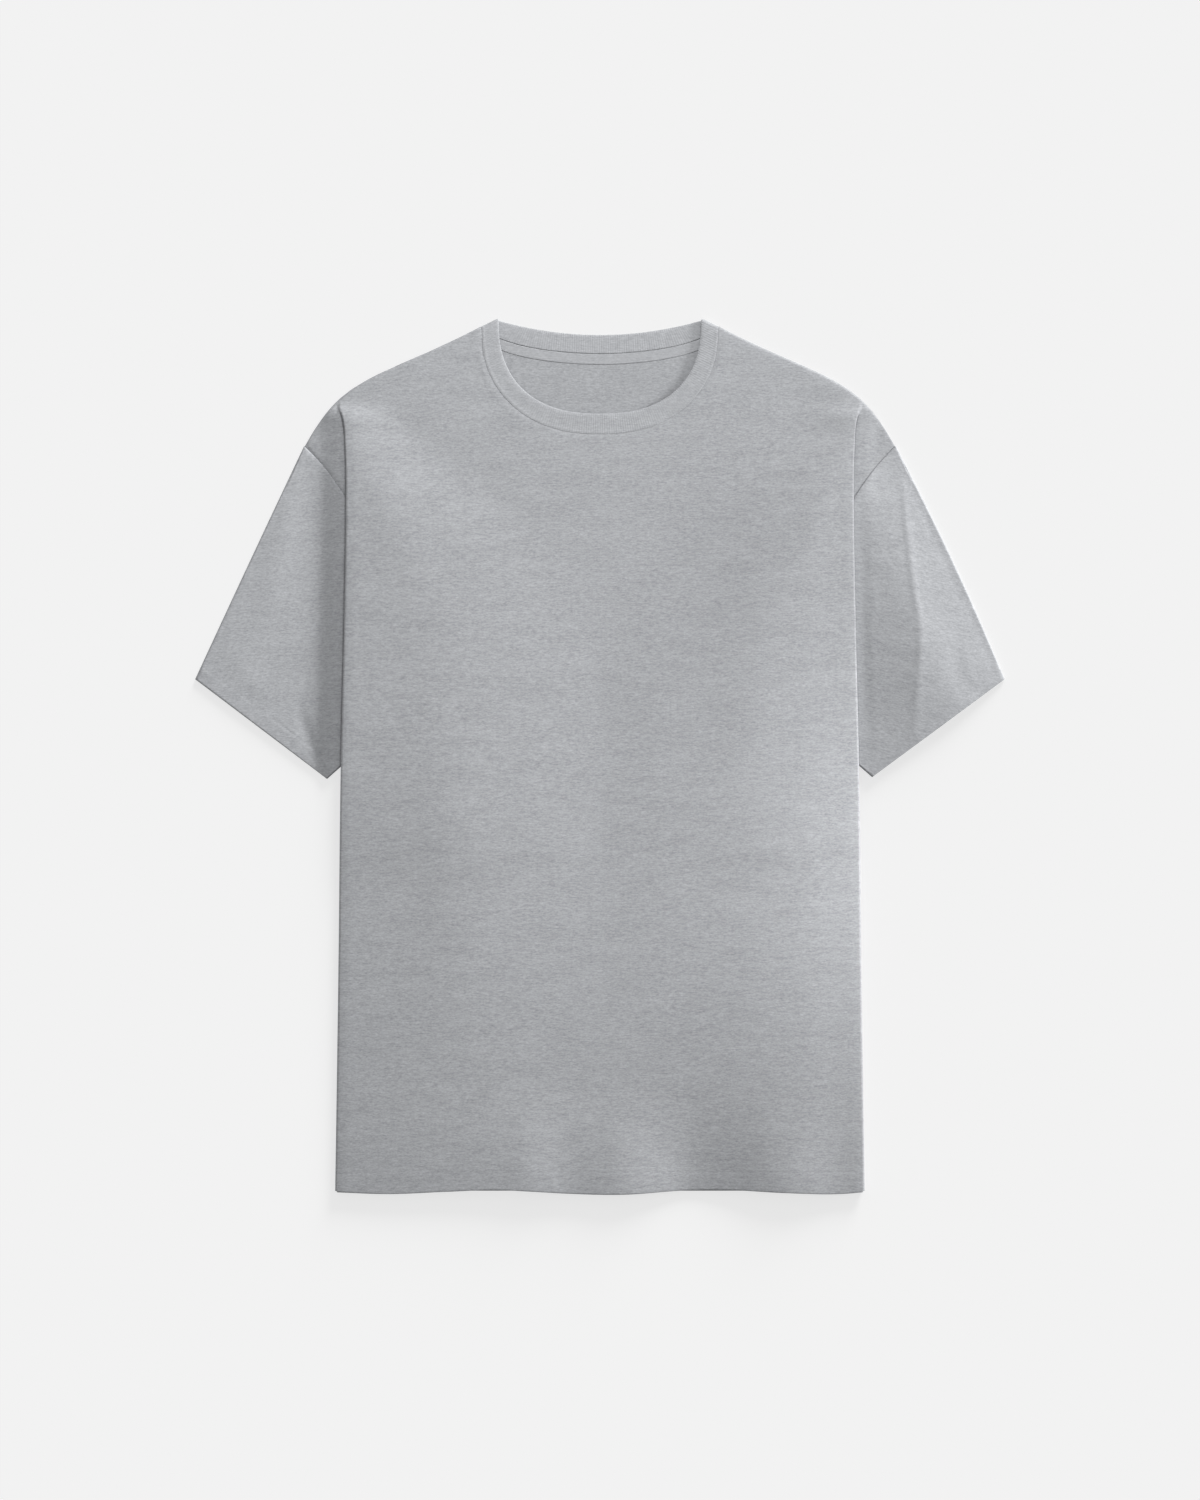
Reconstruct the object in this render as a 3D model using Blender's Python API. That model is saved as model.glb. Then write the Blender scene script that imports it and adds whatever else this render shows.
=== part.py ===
"""A crew neck t-shirt with dropped shoulders, laid flat on its back.

X runs across the chest, +Y points to the neck and +Z up from the surface that the shirt lies on.
The origin is on that surface, in the middle of the shirt.

The sleeves are pulled down beside the body. The cloth that this leaves over under each arm is tucked in
between front and back: the panel folds under along a nearly straight side edge, runs in to a second fold
that starts at the root of the tuck and ends at the underarm, and comes out again as the drop of the
shoulder, which the sleeve is sewn to. Below the underarm the tuck goes on to the hem as a gusset, with the
side seam along its inner edge. Every piece of cloth is a thin wall about a middle surface, and that surface
is made of columns that run from the hem to the neck.
"""

import math

import bpy
import numpy as np

MM = 0.001

# ---- cloth -----------------------------------------------------------------------------------------
CLOTH = 1.2             # wall of the single jersey
RIB = 2.0               # wall of the neck band, two plies of rib pressed together
TAPE = 1.0              # wall of the neck tape
GAP = 0.3               # clearance between two pieces of cloth
NECK_SEAM = 0.5         # clearance between band and panel, a little more than GAP because it is faceted
ARMHOLE_SEAM = 0.55     # the same along X at the armhole
PLY = CLOTH + GAP       # height from one ply to the next in a stack

# ---- the body, in millimetres from the middle of the shirt --------------------------------------------
HEM_Y = -370.3
CUT_HALF_CHEST = 305.0  # half the width that the body is cut to
ROOT_X, ROOT_Y = 222.0, 300.0        # where the tuck starts, on the shoulder edge
UNDERARM_Y = 72.0       # where armhole, side seam and sleeve seam meet
TURN_RUN = 20.0         # length below the root over which the tuck turns over
SHORTEST_TUCK = 0.3     # length of the ply between the two folds until then
FOLD_EASE = 0.2         # how much shorter the cloth in a fold is while it is half turned
STRAIGHT_FROM = 0.8     # share of the turn from which the ply between the folds gets its full length
GUSSET_RISE = 1.0       # how far the hem of the gusset lies above the hem of the front

SIDE_FOLD = (           # y, x: the visible side edge of the body
    (HEM_Y, 225.0),
    (-200.0, 222.5),
    (0.0, 220.0),
    (110.0, 217.5),
    (200.0, 216.0),
    (262.0, 216.5),
    (284.0, 218.0),
    (300.0, 222.0),
)
SHOULDER_EDGE = (       # x, y: the fold over the shoulder, from the neck to the top of the sleeve
    (88.0, 372.3),
    (113.5, 358.8),
    (142.3, 345.2),
    (173.4, 331.5),
    (201.0, 317.9),
    (220.6, 304.3),
    (233.3, 290.7),
    (243.0, 277.1),
    (251.0, 263.5),
)
ARMHOLE = (             # y, x: the seam between the drop of the shoulder and the sleeve
    (64.0, 137.0),
    (72.0, 141.5),
    (140.0, 175.0),
    (220.0, 216.0),
    (247.0, 235.5),
    (263.5, 251.0),
)
HEM_WAVES = (           # x, rise in z, shift in y: how the front hem lies in soft waves
    (-225.0, 0.0, 0.0),
    (-180.0, 1.0, -1.5),
    (-130.0, 0.0, 0.5),
    (-86.0, 1.2, 2.0),
    (-60.0, 2.0, 0.8),
    (-30.0, 0.4, -1.0),
    (12.0, 1.6, -2.0),
    (64.0, 0.0, 1.0),
    (89.0, 0.5, 2.0),
    (149.0, 2.2, -0.5),
    (200.0, 0.8, -1.5),
    (225.0, 0.0, 0.0),
)
HEM_WAVE_REACH = 100.0  # how far up the front the waves fade out

# ---- heights of the middle surfaces above the table -----------------------------------------------------
BACK_Z = CLOTH / 2
FRONT_REST_Z = 3.6      # front over the empty middle of the shirt
FRONT_NECK_Z = 4.0      # front at the neck and shoulders
BACK_FOLD_R = PLY / 2
INNER_FOLD_R = PLY / 2
FRONT_LIP_R = 0.8, 1.5  # radius of the front's side edge, at the root of the tuck and from the chest down
CHEST_Y = 200.0
NECK_RISE_FROM = 180.0  # the front rises from here to its height at the neck
SIDE_RISE = 55.0, 8.0   # it rises to its side edge from inside the tuck's inner edge to outside it
SLEEVE_PUFF = 1.5       # how much more the two plies of a sleeve stand apart where nothing lies on them
SLEEVE_LEVEL = 3.5      # how far beside the body the sleeve starts to come down
SLEEVE_DROP = 17.0      # how far beside the body it is down on the table
SLEEVE_LIFT = 110.0, 45.0        # it lifts the front from the first to the second of these below its hem
SLEEVE_HEM_SLOPE = 0.88 # fall of the sleeve's hem to its inner corner, over its run in x
BACK_SIDE_INSET = 1.5   # the back's side edge lies this far inside the front's

# ---- sleeves ----------------------------------------------------------------------------------------
SLEEVES = (             # name, side, outer hem corner, inner hem corner, bow of the top edge
    ("sleeve_left", -1, (344.0, 65.5), (231.5, -19.5), 0.3),
    ("sleeve_right", 1, (344.0, 65.5), (231.0, -18.0), 2.6),
)
BOW_WAY = np.array([0.9, 0.43])      # square to the top edge of a sleeve, outwards

# ---- neck -------------------------------------------------------------------------------------------
NECK_HALF_WIDTH = 85.9
NECK_TOP_Y = 370.0      # free edge of the band where it turns over the shoulder
FRONT_NECK_Y = 291.0    # free edge of the band at the middle of the front
BACK_NECK_Y = 357.9     # free edge of the band at the middle of the back
NECK_SQUARENESS = 2.4   # exponent of the front neck curve, 2 is an ellipse
SHOULDER_SLOPE = math.radians(26.0)
BAND_WIDTH = 16.4
BAND_WIDER_FRONT = 1.4
BACK_BAND_WIDTH = 16.0
TAPE_WIDTH = 8.8
TAPE_HALF_SPAN = 80.0

# ---- how finely the cloth is divided ---------------------------------------------------------------------
SHOULDER_COLUMNS = (114.0, 136.0, 160.0, 184.0, 206.0)
LOWER_ROWS = (0.0, 0.04, 0.11, 0.2, 0.42, 0.72, 0.83, 1.0)
UPPER_ROWS = (0.25, 0.5, 0.72, 0.86, 0.93, 0.972)
EDGE_TURNS = (0.0, 35.0, 62.0, 85.0)      # degrees round the shoulder edge
NECK_MATCH = 0.05       # a column this close to the end of the neckline still belongs to the shoulder
EDGE_STOP = 0.34        # a panel's middle surface ends this far short of the middle of the shoulder edge
LIP_STEPS = 4
TUCK_STEPS = 2
DROP_STEPS = 3
SLEEVE_ROWS = (0.0, 0.18, 0.42, 0.68, 0.88, 1.0)
SLEEVE_OPEN_STEPS = 4   # from the top edge to where the sleeve starts to rise
SLEEVE_RISE_STEPS = 3   # up to the body's side edge
SLEEVE_HIDDEN_STEPS = 2
SLEEVE_EDGE_STEPS = 4
SLEEVE_RISE_LIMIT, SLEEVE_FOLD_LIMIT = 0.80, 0.92   # shares of the section before which these must come
SLEEVE_EDGE_PROBE = 2.0 # how far in from a sleeve's edge its height is taken
BAND_FRONT_STEPS = 20
BAND_BACK_STEPS = 12
BAND_TURN_STEPS = 4


def smooth(start, end, t):
    """0 before start, 1 after end and an even S between. start may be above end."""
    f = np.clip((np.asarray(t, float) - start) / (end - start), 0.0, 1.0)
    return f * f * (3.0 - 2.0 * f)


def curve(rows, key=0, value=1):
    """A smooth function through two columns of a table."""
    table = np.array(rows)
    x, y = table[:, key], table[:, value]
    slopes = np.gradient(y, x)

    def at(t):
        t = np.clip(np.asarray(t, float), x[0], x[-1])
        i = np.clip(np.searchsorted(x, t) - 1, 0, len(x) - 2)
        width = x[i + 1] - x[i]
        f = (t - x[i]) / width
        rise = (y[i + 1] - y[i]) / width
        bend_in = slopes[i] - rise
        bend_out = rise - slopes[i + 1]
        return y[i] + (y[i + 1] - y[i]) * f + width * f * (1 - f) * (bend_in * (1 - f) + bend_out * f)

    return at


side_fold = curve(SIDE_FOLD)
shoulder_edge = curve(SHOULDER_EDGE)
armhole = curve(ARMHOLE)
hem_rise = curve(HEM_WAVES, 0, 1)
hem_shift = curve(HEM_WAVES, 0, 2)


# ---- the neck: where the band lies in plan ------------------------------------------------------------------
def unit(angle):
    return np.stack([np.cos(angle), np.sin(angle)], axis=-1)


def front_band(turn, reach=0.0):
    """Free edge and seam edge of the band at the front. turn goes from 0, right shoulder, to pi, left.

    reach moves the seam edge further out.
    """
    c, s = np.cos(turn), np.sin(turn)
    power = 2.0 / NECK_SQUARENESS
    x = NECK_HALF_WIDTH * np.sign(c) * np.abs(c) ** power
    y = NECK_TOP_Y - (NECK_TOP_Y - FRONT_NECK_Y) * np.abs(s) ** power
    across = np.abs(c) ** (2.0 - power) / NECK_HALF_WIDTH
    along = np.abs(s) ** (2.0 - power) / (NECK_TOP_Y - FRONT_NECK_Y)
    slope = np.maximum(np.arctan2(along, across), SHOULDER_SLOPE)
    heading = np.where(c >= 0, -slope, math.pi + slope)
    free = np.stack([x, y], axis=-1)
    width = BAND_WIDTH + BAND_WIDER_FRONT * s ** 4 + reach
    return free, free + unit(heading) * width[..., None]


def back_band(turn, reach=0.0):
    """The same at the back, from 0 at the right to pi at the left."""
    c = np.cos(turn)
    x = NECK_HALF_WIDTH * c
    y = BACK_NECK_Y + (NECK_TOP_Y - BACK_NECK_Y) * c ** 2
    slope = math.pi / 2 - (math.pi / 2 - SHOULDER_SLOPE) * np.abs(c) ** 3
    heading = np.where(c >= 0, -slope, math.pi + slope)
    free = np.stack([x, y], axis=-1)
    width = BACK_BAND_WIDTH + (BAND_WIDTH - BACK_BAND_WIDTH) * np.abs(c) ** 3 + reach
    return free, free + unit(heading) * width[..., None]


def neck_columns(band, steps):
    """Where a panel's columns meet the neck: one for each station of the band and one for its turn."""
    seam = band(np.linspace(math.pi / 2, 0.0, steps // 2 + 1), NECK_SEAM)[1]
    corner = seam[-1] + (FRONT_NECK_Z - RIB / 2) / 2 * unit(math.pi / 2 - SHOULDER_SLOPE)
    return np.append(seam[:, 0], corner[0]), np.append(seam[:, 1], corner[1])


# ---- the tuck under each arm ----------------------------------------------------------------------------------
def turned(y):
    return smooth(ROOT_Y, ROOT_Y - TURN_RUN, y)


def inner_fold(y):
    """x of the tuck's inner edge: the second fold above the underarm, the side seam below it."""
    seam = 2 * side_fold(y) - CUT_HALF_CHEST
    underarm_x = 2 * side_fold(UNDERARM_Y) - CUT_HALF_CHEST
    fold = ROOT_X + (underarm_x - ROOT_X) * (ROOT_Y - y) / (ROOT_Y - UNDERARM_Y)
    return np.where(y < UNDERARM_Y, seam, fold)


def lip_radius(y):
    return FRONT_LIP_R[0] + (FRONT_LIP_R[1] - FRONT_LIP_R[0]) * smooth(ROOT_Y, CHEST_Y, y)


def tuck_length(y, radii, inset):
    """Length of the straight ply between the two folds, which stays short until the tuck has turned over."""
    full = side_fold(y) - inset - CLOTH / 2 - inner_fold(y) - radii
    opened = smooth(STRAIGHT_FROM, 1.0, turned(y))
    return SHORTEST_TUCK + np.maximum(full - SHORTEST_TUCK, 0.0) * opened


def bend(radius, turn, share):
    """How far out and how far down the cloth has gone, this share of the way round a fold.

    The fold keeps nearly the length of half a turn of its radius. It lies flat where turn is 0.
    """
    length = math.pi * radius * (1 - FOLD_EASE * np.sin(turn))
    turn = np.maximum(turn, 1e-4)
    return length / turn * np.sin(turn * share), length / turn * (1 - np.cos(turn * share))


def tuck_height(y, radii, inset=0.0):
    """How far the tuck carries the cloth down or up, from the panel to the drop of the shoulder."""
    turn = math.pi * turned(y)
    return bend(radii, turn, 1.0)[1] + tuck_length(y, radii, inset) * np.sin(turn)


# ---- heights of the plies --------------------------------------------------------------------------------------
def beside(x, y):
    """0 between the plies of the body, 1 where the sleeve has come down to the table beside it."""
    return smooth(SLEEVE_LEVEL, SLEEVE_DROP, np.abs(x) - side_fold(y))


def under_ply(x, y):
    """The back of the shoulder's drop and the under ply of the sleeve."""
    lifted = tuck_height(y, 2 * BACK_FOLD_R, BACK_SIDE_INSET)
    return BACK_Z + lifted * (1 - beside(x, y))


def upper_ply(x, y):
    """The front of the shoulder's drop and the upper ply of the sleeve."""
    flat = FRONT_NECK_Z - BACK_Z
    apart = flat + (PLY - flat) * turned(y) + SLEEVE_PUFF * beside(x, y) * turned(y)
    return under_ply(x, y) + apart


def sleeve_lift(x, y):
    """0 to 1: how much the body's front plies are raised by the sleeve that lies between them."""
    sleeve_low = ARMHOLE[0][0] - (np.abs(x) - ARMHOLE[0][1]) * SLEEVE_HEM_SLOPE
    return smooth(sleeve_low - SLEEVE_LIFT[0], sleeve_low - SLEEVE_LIFT[1], y)


def front_side_height(y):
    """The front at its side edge."""
    radii = lip_radius(y) + INNER_FOLD_R
    x = side_fold(y) - inner_fold(y)
    above = upper_ply(side_fold(y) - x * turned(y), y) + tuck_height(y, radii)
    below = BACK_Z + 2 * PLY + 2 * PLY * sleeve_lift(side_fold(y), y) + 2 * lip_radius(y)
    return np.where(y < UNDERARM_Y, below, above)


def front_height(x, y):
    """The front panel over the whole body, down to its rounded shoulder edge."""
    size = np.abs(x)
    middle = FRONT_REST_Z + (FRONT_NECK_Z - FRONT_REST_Z) * smooth(NECK_RISE_FROM, ROOT_Y, y)
    fold = inner_fold(y)
    high = middle + (front_side_height(y) - middle) * smooth(fold - SIDE_RISE[0], fold + SIDE_RISE[1], size)
    return high + hem_rise(x) * smooth(HEM_Y + HEM_WAVE_REACH, HEM_Y, y)


def edge_radius(x, y):
    """Half the height between front and back at the shoulder edge."""
    flat = (FRONT_NECK_Z - BACK_Z) / 2
    drop = (upper_ply(x, y) - under_ply(x, y)) / 2
    return np.where(np.abs(x) < ROOT_X, flat, drop)


def shoulder_slope(x):
    step = 0.5
    return (shoulder_edge(np.abs(x) + step) - shoulder_edge(np.abs(x) - step)) / (2 * step)


def edge_round(x, y, radius):
    """How far a panel has curved over, this close to the shoulder edge."""
    slope = shoulder_slope(x)
    distance = (shoulder_edge(np.abs(x)) - y) / np.sqrt(1 + slope ** 2) - CLOTH / 2
    inside = np.clip(radius - distance, 0.0, radius)
    return radius - np.sqrt(np.maximum(radius ** 2 - inside ** 2, 0.0))


# ---- a body panel, front or back ---------------------------------------------------------------------------------
class Panel:
    """What differs between the front and the back."""

    def __init__(self, name, way, neck, inset, lip, height):
        self.name = name
        self.way = way              # the tuck goes down from the front and up from the back
        self.neck_x, self.neck_y = neck
        self.inset = inset
        self.lip = lip
        self.height = height


FRONT = Panel("front", -1, neck_columns(front_band, BAND_FRONT_STEPS), 0.0, lip_radius, front_height)
BACK = Panel("back", 1, neck_columns(back_band, BAND_BACK_STEPS), BACK_SIDE_INSET,
             lambda y: BACK_FOLD_R + 0.0 * y, lambda x, y: BACK_Z + 0.0 * x)


def zones(panel):
    """The columns of one half: zone and share of it, from the middle of the panel out to the armhole."""
    widest = ROOT_X - panel.inset - CLOTH / 2 - float(panel.lip(ROOT_Y))
    listed = [("main", x / widest) for x in (*panel.neck_x, *SHOULDER_COLUMNS, widest)]
    listed += [("lip", i / LIP_STEPS) for i in range(1, LIP_STEPS + 1)]
    listed += [("tuck", i / TUCK_STEPS) for i in range(1, TUCK_STEPS + 1)]
    listed += [("inner", i / LIP_STEPS) for i in range(1, LIP_STEPS + 1)]
    listed += [("drop", i / DROP_STEPS) for i in range(1, DROP_STEPS + 1)]
    return listed


def place(panel, side, zone, share, y):
    """x and z of the panel's middle surface in one of its columns, at y."""
    lip = panel.lip(y)
    start_x = side_fold(y) - panel.inset - CLOTH / 2 - lip
    if zone == "main":
        x = side * start_x * share
        return x, panel.height(x, y)
    start_z = panel.height(side * start_x, y)
    turn = math.pi * turned(y)
    length = tuck_length(y, lip + INNER_FOLD_R, panel.inset)
    if zone == "lip":
        out, down = bend(lip, turn, share)
        return side * (start_x + out), start_z + panel.way * down
    out, down = bend(lip, turn, 1.0)
    run = length * (share if zone == "tuck" else 1.0)
    x = start_x + out + run * np.cos(turn)
    z = start_z + panel.way * (down + run * np.sin(turn))
    if zone == "tuck":
        if panel is FRONT:
            lower = sleeve_lift(x, y) - sleeve_lift(start_x, y)
            z = z + 2 * PLY * lower * (y < UNDERARM_Y)
        return side * x, z
    # The second fold is the first one run backwards, from its far end.
    whole_out, whole_down = bend(INNER_FOLD_R, turn, 1.0)
    left_out, left_down = bend(INNER_FOLD_R, turn, 1.0 - share if zone == "inner" else 0.0)
    x = x + whole_out - left_out
    z = z + panel.way * (whole_down - left_down)
    if zone == "inner":
        return side * x, z
    x = x + (armhole(y) - x) * share
    return side * x, (upper_ply if panel is FRONT else under_ply)(x, y)


def at_neck(panel, zone, x):
    return zone == "main" and abs(x) < panel.neck_x[-1] - NECK_MATCH


def top_of(panel, side, zone, share):
    """The y at which a column reaches the neckline or the shoulder edge, found by stepping towards it."""
    y = np.array([290.0])
    for _ in range(40):
        x = np.abs(place(panel, side, zone, share, y)[0])
        if zone == "drop" and share == 1.0:
            edge = np.array([SHOULDER_EDGE[-1][1]])
        elif at_neck(panel, zone, x[0]):
            edge = np.interp(x, panel.neck_x, panel.neck_y)
        else:
            edge = shoulder_edge(x)
        y = 0.5 * y + 0.5 * edge
    return float(y[0])


def panel_column(panel, side, zone, share):
    """Points of a column from the hem, or the underarm, up to the panel's top edge, and its first row."""
    top = top_of(panel, side, zone, share)
    rows = UNDERARM_Y + (top - UNDERARM_Y) * np.array(UPPER_ROWS)
    if zone in ("main", "lip", "tuck"):
        low_x = float(place(panel, side, zone, share, np.array([HEM_Y]))[0][0])
        hem = HEM_Y + (hem_shift(low_x) if panel is FRONT and zone == "main" else GUSSET_RISE)
        rows = np.concatenate([hem + (UNDERARM_Y - hem) * np.array(LOWER_ROWS), rows])
        first = 0
    else:
        rows = np.concatenate([[UNDERARM_Y], rows])
        first = len(LOWER_ROWS) - 1
    x, z = place(panel, side, zone, share, rows)
    points = [np.array(p) for p in zip(x, rows, z)]
    return points + panel_edge(panel, side, zone, share, top), first


def panel_edge(panel, side, zone, share, top):
    """The last rows, which turn over the shoulder edge or reach the neckline."""
    y = np.array([top])
    x = float(place(panel, side, zone, share, y)[0][0])
    radius = float(edge_radius(x, top))
    slope = float(shoulder_slope(x))
    square = np.array([-slope * side, 1.0]) / math.hypot(slope, 1.0)
    leaning = float(smooth(panel.neck_x[-1], SHOULDER_COLUMNS[-1], abs(x)))
    way = np.array([0.0, 1.0]) * (1 - leaning) + square * leaning
    way /= way @ square
    points = []
    for turn in np.radians(EDGE_TURNS):
        inset = radius * (1 - math.sin(turn))
        if at_neck(panel, zone, x):
            spot = np.array([x, top - inset])
            drop = float(edge_round(spot[0], spot[1], radius))
        else:
            spot = np.array([x, top]) - way * (inset + CLOTH / 2)
            drop = radius * (1 - math.cos(turn))
        height = surface_at(panel, spot[0], spot[1], zone)
        points.append(np.array([spot[0], spot[1], height + panel.way * min(drop, radius - EDGE_STOP)]))
    return points


def surface_at(panel, x, y, zone):
    if zone == "main":
        return float(panel.height(np.array(x), np.array(y)))
    if panel is FRONT:
        return float(upper_ply(np.array(x), np.array(y)))
    return float(under_ply(np.array(x), np.array(y)))


def panel_columns(panel):
    half = zones(panel)
    left = [panel_column(panel, -1, zone, share) for zone, share in reversed(half[1:])]
    right = [panel_column(panel, 1, zone, share) for zone, share in half]
    return left + right


# ---- sleeves -----------------------------------------------------------------------------------------------------
def sleeve_plan(sleeve, along, across):
    """Plan point of a sleeve: along from armhole to hem, across from the top edge to the underarm edge."""
    _, side, outer, inner, bow = sleeve
    shoulder = np.array(SHOULDER_EDGE[-1])
    underarm = np.array([ARMHOLE[0][1], ARMHOLE[0][0]])
    bulge = bow * math.sin(math.pi * along) * BOW_WAY
    top = shoulder + (np.array(outer) - shoulder) * along + bulge
    low = underarm + (np.array(inner) - underarm) * along
    spot = top + (low - top) * across
    seam_y = shoulder[1] + (underarm[1] - shoulder[1]) * across
    straight_x = shoulder[0] + (underarm[0] - shoulder[0]) * across
    hollow = float(armhole(seam_y)) - straight_x
    shift = (1 - along) * (hollow + ARMHOLE_SEAM)
    return np.array([spot[0] + shift, spot[1]])


def share_beside(sleeve, along, distance, limit):
    """How far across a sleeve its section comes within a distance of the body's side edge."""
    low, high = 0.0, limit
    for _ in range(30):
        middle = (low + high) / 2
        spot = sleeve_plan(sleeve, along, middle)
        if spot[0] - float(side_fold(spot[1])) > distance:
            low = middle
        else:
            high = middle
    return low


def sleeve_ring(sleeve, along):
    """One section of the sleeve: upper ply, underarm edge, under ply, top edge."""
    side = sleeve[1]

    def edge(across, inward):
        tip = sleeve_plan(sleeve, along, across)
        way = sleeve_plan(sleeve, along, across + inward * 0.01) - tip
        way /= np.linalg.norm(way)
        spot = tip + way * SLEEVE_EDGE_PROBE
        radius = float(upper_ply(spot[0], spot[1]) - under_ply(spot[0], spot[1])) / 2
        return tip + way * (radius + CLOTH / 2), -way, radius

    top_centre, top_out, top_radius = edge(0.0, 1)
    low_centre, low_out, low_radius = edge(1.0, -1)
    rise = share_beside(sleeve, along, SLEEVE_DROP, SLEEVE_RISE_LIMIT)
    fold = share_beside(sleeve, along, SLEEVE_LEVEL, SLEEVE_FOLD_LIMIT)
    shares = np.concatenate([
        np.linspace(0.0, rise, SLEEVE_OPEN_STEPS, endpoint=False),
        np.linspace(rise, fold, SLEEVE_RISE_STEPS, endpoint=False),
        np.linspace(fold, 1.0, SLEEVE_HIDDEN_STEPS + 1),
    ])
    plan = [sleeve_plan(sleeve, along, s) for s in shares]
    plan[0], plan[-1] = top_centre, low_centre
    ring = [(p[0], p[1], float(upper_ply(p[0], p[1]))) for p in plan]
    ring += round_edge(low_centre, low_out, low_radius)
    ring += [(p[0], p[1], float(under_ply(p[0], p[1]))) for p in reversed(plan)]
    ring += round_edge(top_centre, top_out, top_radius)[::-1]
    return [np.array([side * x, y, z]) for x, y, z in ring]


def round_edge(centre, out, radius):
    """Points between the upper and the under ply, round a folded edge."""
    middle = (float(upper_ply(*centre)) + float(under_ply(*centre))) / 2
    points = []
    for i in range(1, SLEEVE_EDGE_STEPS):
        angle = math.pi * (0.5 - i / SLEEVE_EDGE_STEPS)
        spot = centre + out * radius * math.cos(angle)
        points.append((spot[0], spot[1], middle + radius * math.sin(angle)))
    return points


# ---- band and tape --------------------------------------------------------------------------------------------------
def band_stations():
    """Free edge and seam edge of the ring, right shoulder to left over the front and back again."""
    low, high = RIB / 2, FRONT_NECK_Z
    radius = (high - low) / 2
    stations = []
    for turn in np.linspace(0.0, math.pi, BAND_FRONT_STEPS + 1):
        free, seam = front_band(np.array(turn))
        stations.append((free, seam, high, high))
    stations += band_turn(-1, 1, radius)
    for turn in np.linspace(math.pi, 0.0, BAND_BACK_STEPS + 1):
        free, seam = back_band(np.array(turn))
        stations.append((free, seam, low, low))
    return stations + band_turn(1, -1, radius)


def band_turn(side, way, radius):
    """The half turn over a shoulder. way 1 goes from front to back."""
    free, seam = front_band(np.array(0.0 if side > 0 else math.pi))
    outward = np.array([side * math.sin(SHOULDER_SLOPE), math.cos(SHOULDER_SLOPE)])
    stations = []
    for i in range(1, BAND_TURN_STEPS):
        angle = way * math.pi * (0.5 - i / BAND_TURN_STEPS)
        move = outward * radius * math.cos(angle)
        z = RIB / 2 + radius * (1 + math.sin(angle))
        stations.append((free + move, seam + move, z, z))
    return stations


def strip_columns(stations, shares):
    """Columns of a strip, each one a list of points along it."""
    columns = []
    for share in shares:
        column = []
        for free, seam, free_z, seam_z in stations:
            spot = free + (seam - free) * share
            column.append(np.array([spot[0], spot[1], free_z + (seam_z - free_z) * share]))
        columns.append(column)
    return columns


def tape_stations():
    z = CLOTH + GAP + TAPE / 2
    widest = math.acos(TAPE_HALF_SPAN / NECK_HALF_WIDTH)
    stations = []
    for turn in np.linspace(math.pi - widest, widest, BAND_BACK_STEPS + 1):
        upper = back_band(np.array(turn), 2 * GAP)[1]
        lower = back_band(np.array(turn), 2 * GAP + TAPE_WIDTH)[1]
        stations.append((upper, lower, z, z))
    return stations


# ---- from columns of points to a closed wall ---------------------------------------------------------------------------
def material(name, colour, roughness):
    made = bpy.data.materials.new(name)
    made.use_nodes = True
    shader = made.node_tree.nodes["Principled BSDF"]
    shader.inputs["Base Color"].default_value = (*colour, 1.0)
    shader.inputs["Roughness"].default_value = roughness
    shader.inputs["Metallic"].default_value = 0.0
    return made


def sheet(name, columns, wall, finish, closed_along=False, closed_across=False):
    """An object from columns of points. Each column is a list and the row that it starts at."""
    points, index = [], {}
    for c, (column, first) in enumerate(columns):
        for r, point in enumerate(column):
            index[c, first + r] = len(points)
            points.append([v * MM for v in point])
    rows = max(r for _, r in index) + 1
    faces = []
    for c in range(len(columns) if closed_across else len(columns) - 1):
        for r in range(rows if closed_along else rows - 1):
            right, up = (c + 1) % len(columns), (r + 1) % rows
            corners = [(c, r), (right, r), (right, up), (c, up)]
            if all(corner in index for corner in corners):
                faces.append([index[corner] for corner in corners])
    mesh = bpy.data.meshes.new(name)
    mesh.from_pydata(points, [], faces)
    mesh.validate()
    made = bpy.data.objects.new(name, mesh)
    bpy.context.scene.collection.objects.link(made)
    mesh.materials.append(finish)
    mesh.shade_smooth()
    solid = made.modifiers.new("wall", "SOLIDIFY")
    solid.thickness = wall * MM
    solid.offset = 0.0
    solid.use_rim = True
    return made


def build():
    for old in list(bpy.data.objects):
        bpy.data.objects.remove(old)
    jersey = material("heather jersey", (0.40, 0.41, 0.43), 0.9)
    sleeve_jersey = material("heather jersey, sleeves", (0.42, 0.43, 0.45), 0.9)
    rib = material("heather rib", (0.38, 0.39, 0.41), 0.9)
    tape = material("neck tape", (0.44, 0.45, 0.47), 0.85)
    for panel in (FRONT, BACK):
        sheet(panel.name, panel_columns(panel), CLOTH, jersey)
    for sleeve in SLEEVES:
        rings = [sleeve_ring(sleeve, along) for along in SLEEVE_ROWS]
        if sleeve[1] < 0:
            rings = rings[::-1]
        sheet(sleeve[0], [(ring, 0) for ring in rings], CLOTH, sleeve_jersey, closed_along=True)
    band = strip_columns(band_stations(), (0.0, 0.35, 0.7, 1.0))
    sheet("neck_band", [(column, 0) for column in band], RIB, rib, closed_along=True)
    strip = strip_columns(tape_stations(), (0.0, 0.5, 1.0))
    sheet("neck_tape", [(column, 0) for column in strip], TAPE, tape)


build()
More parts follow.
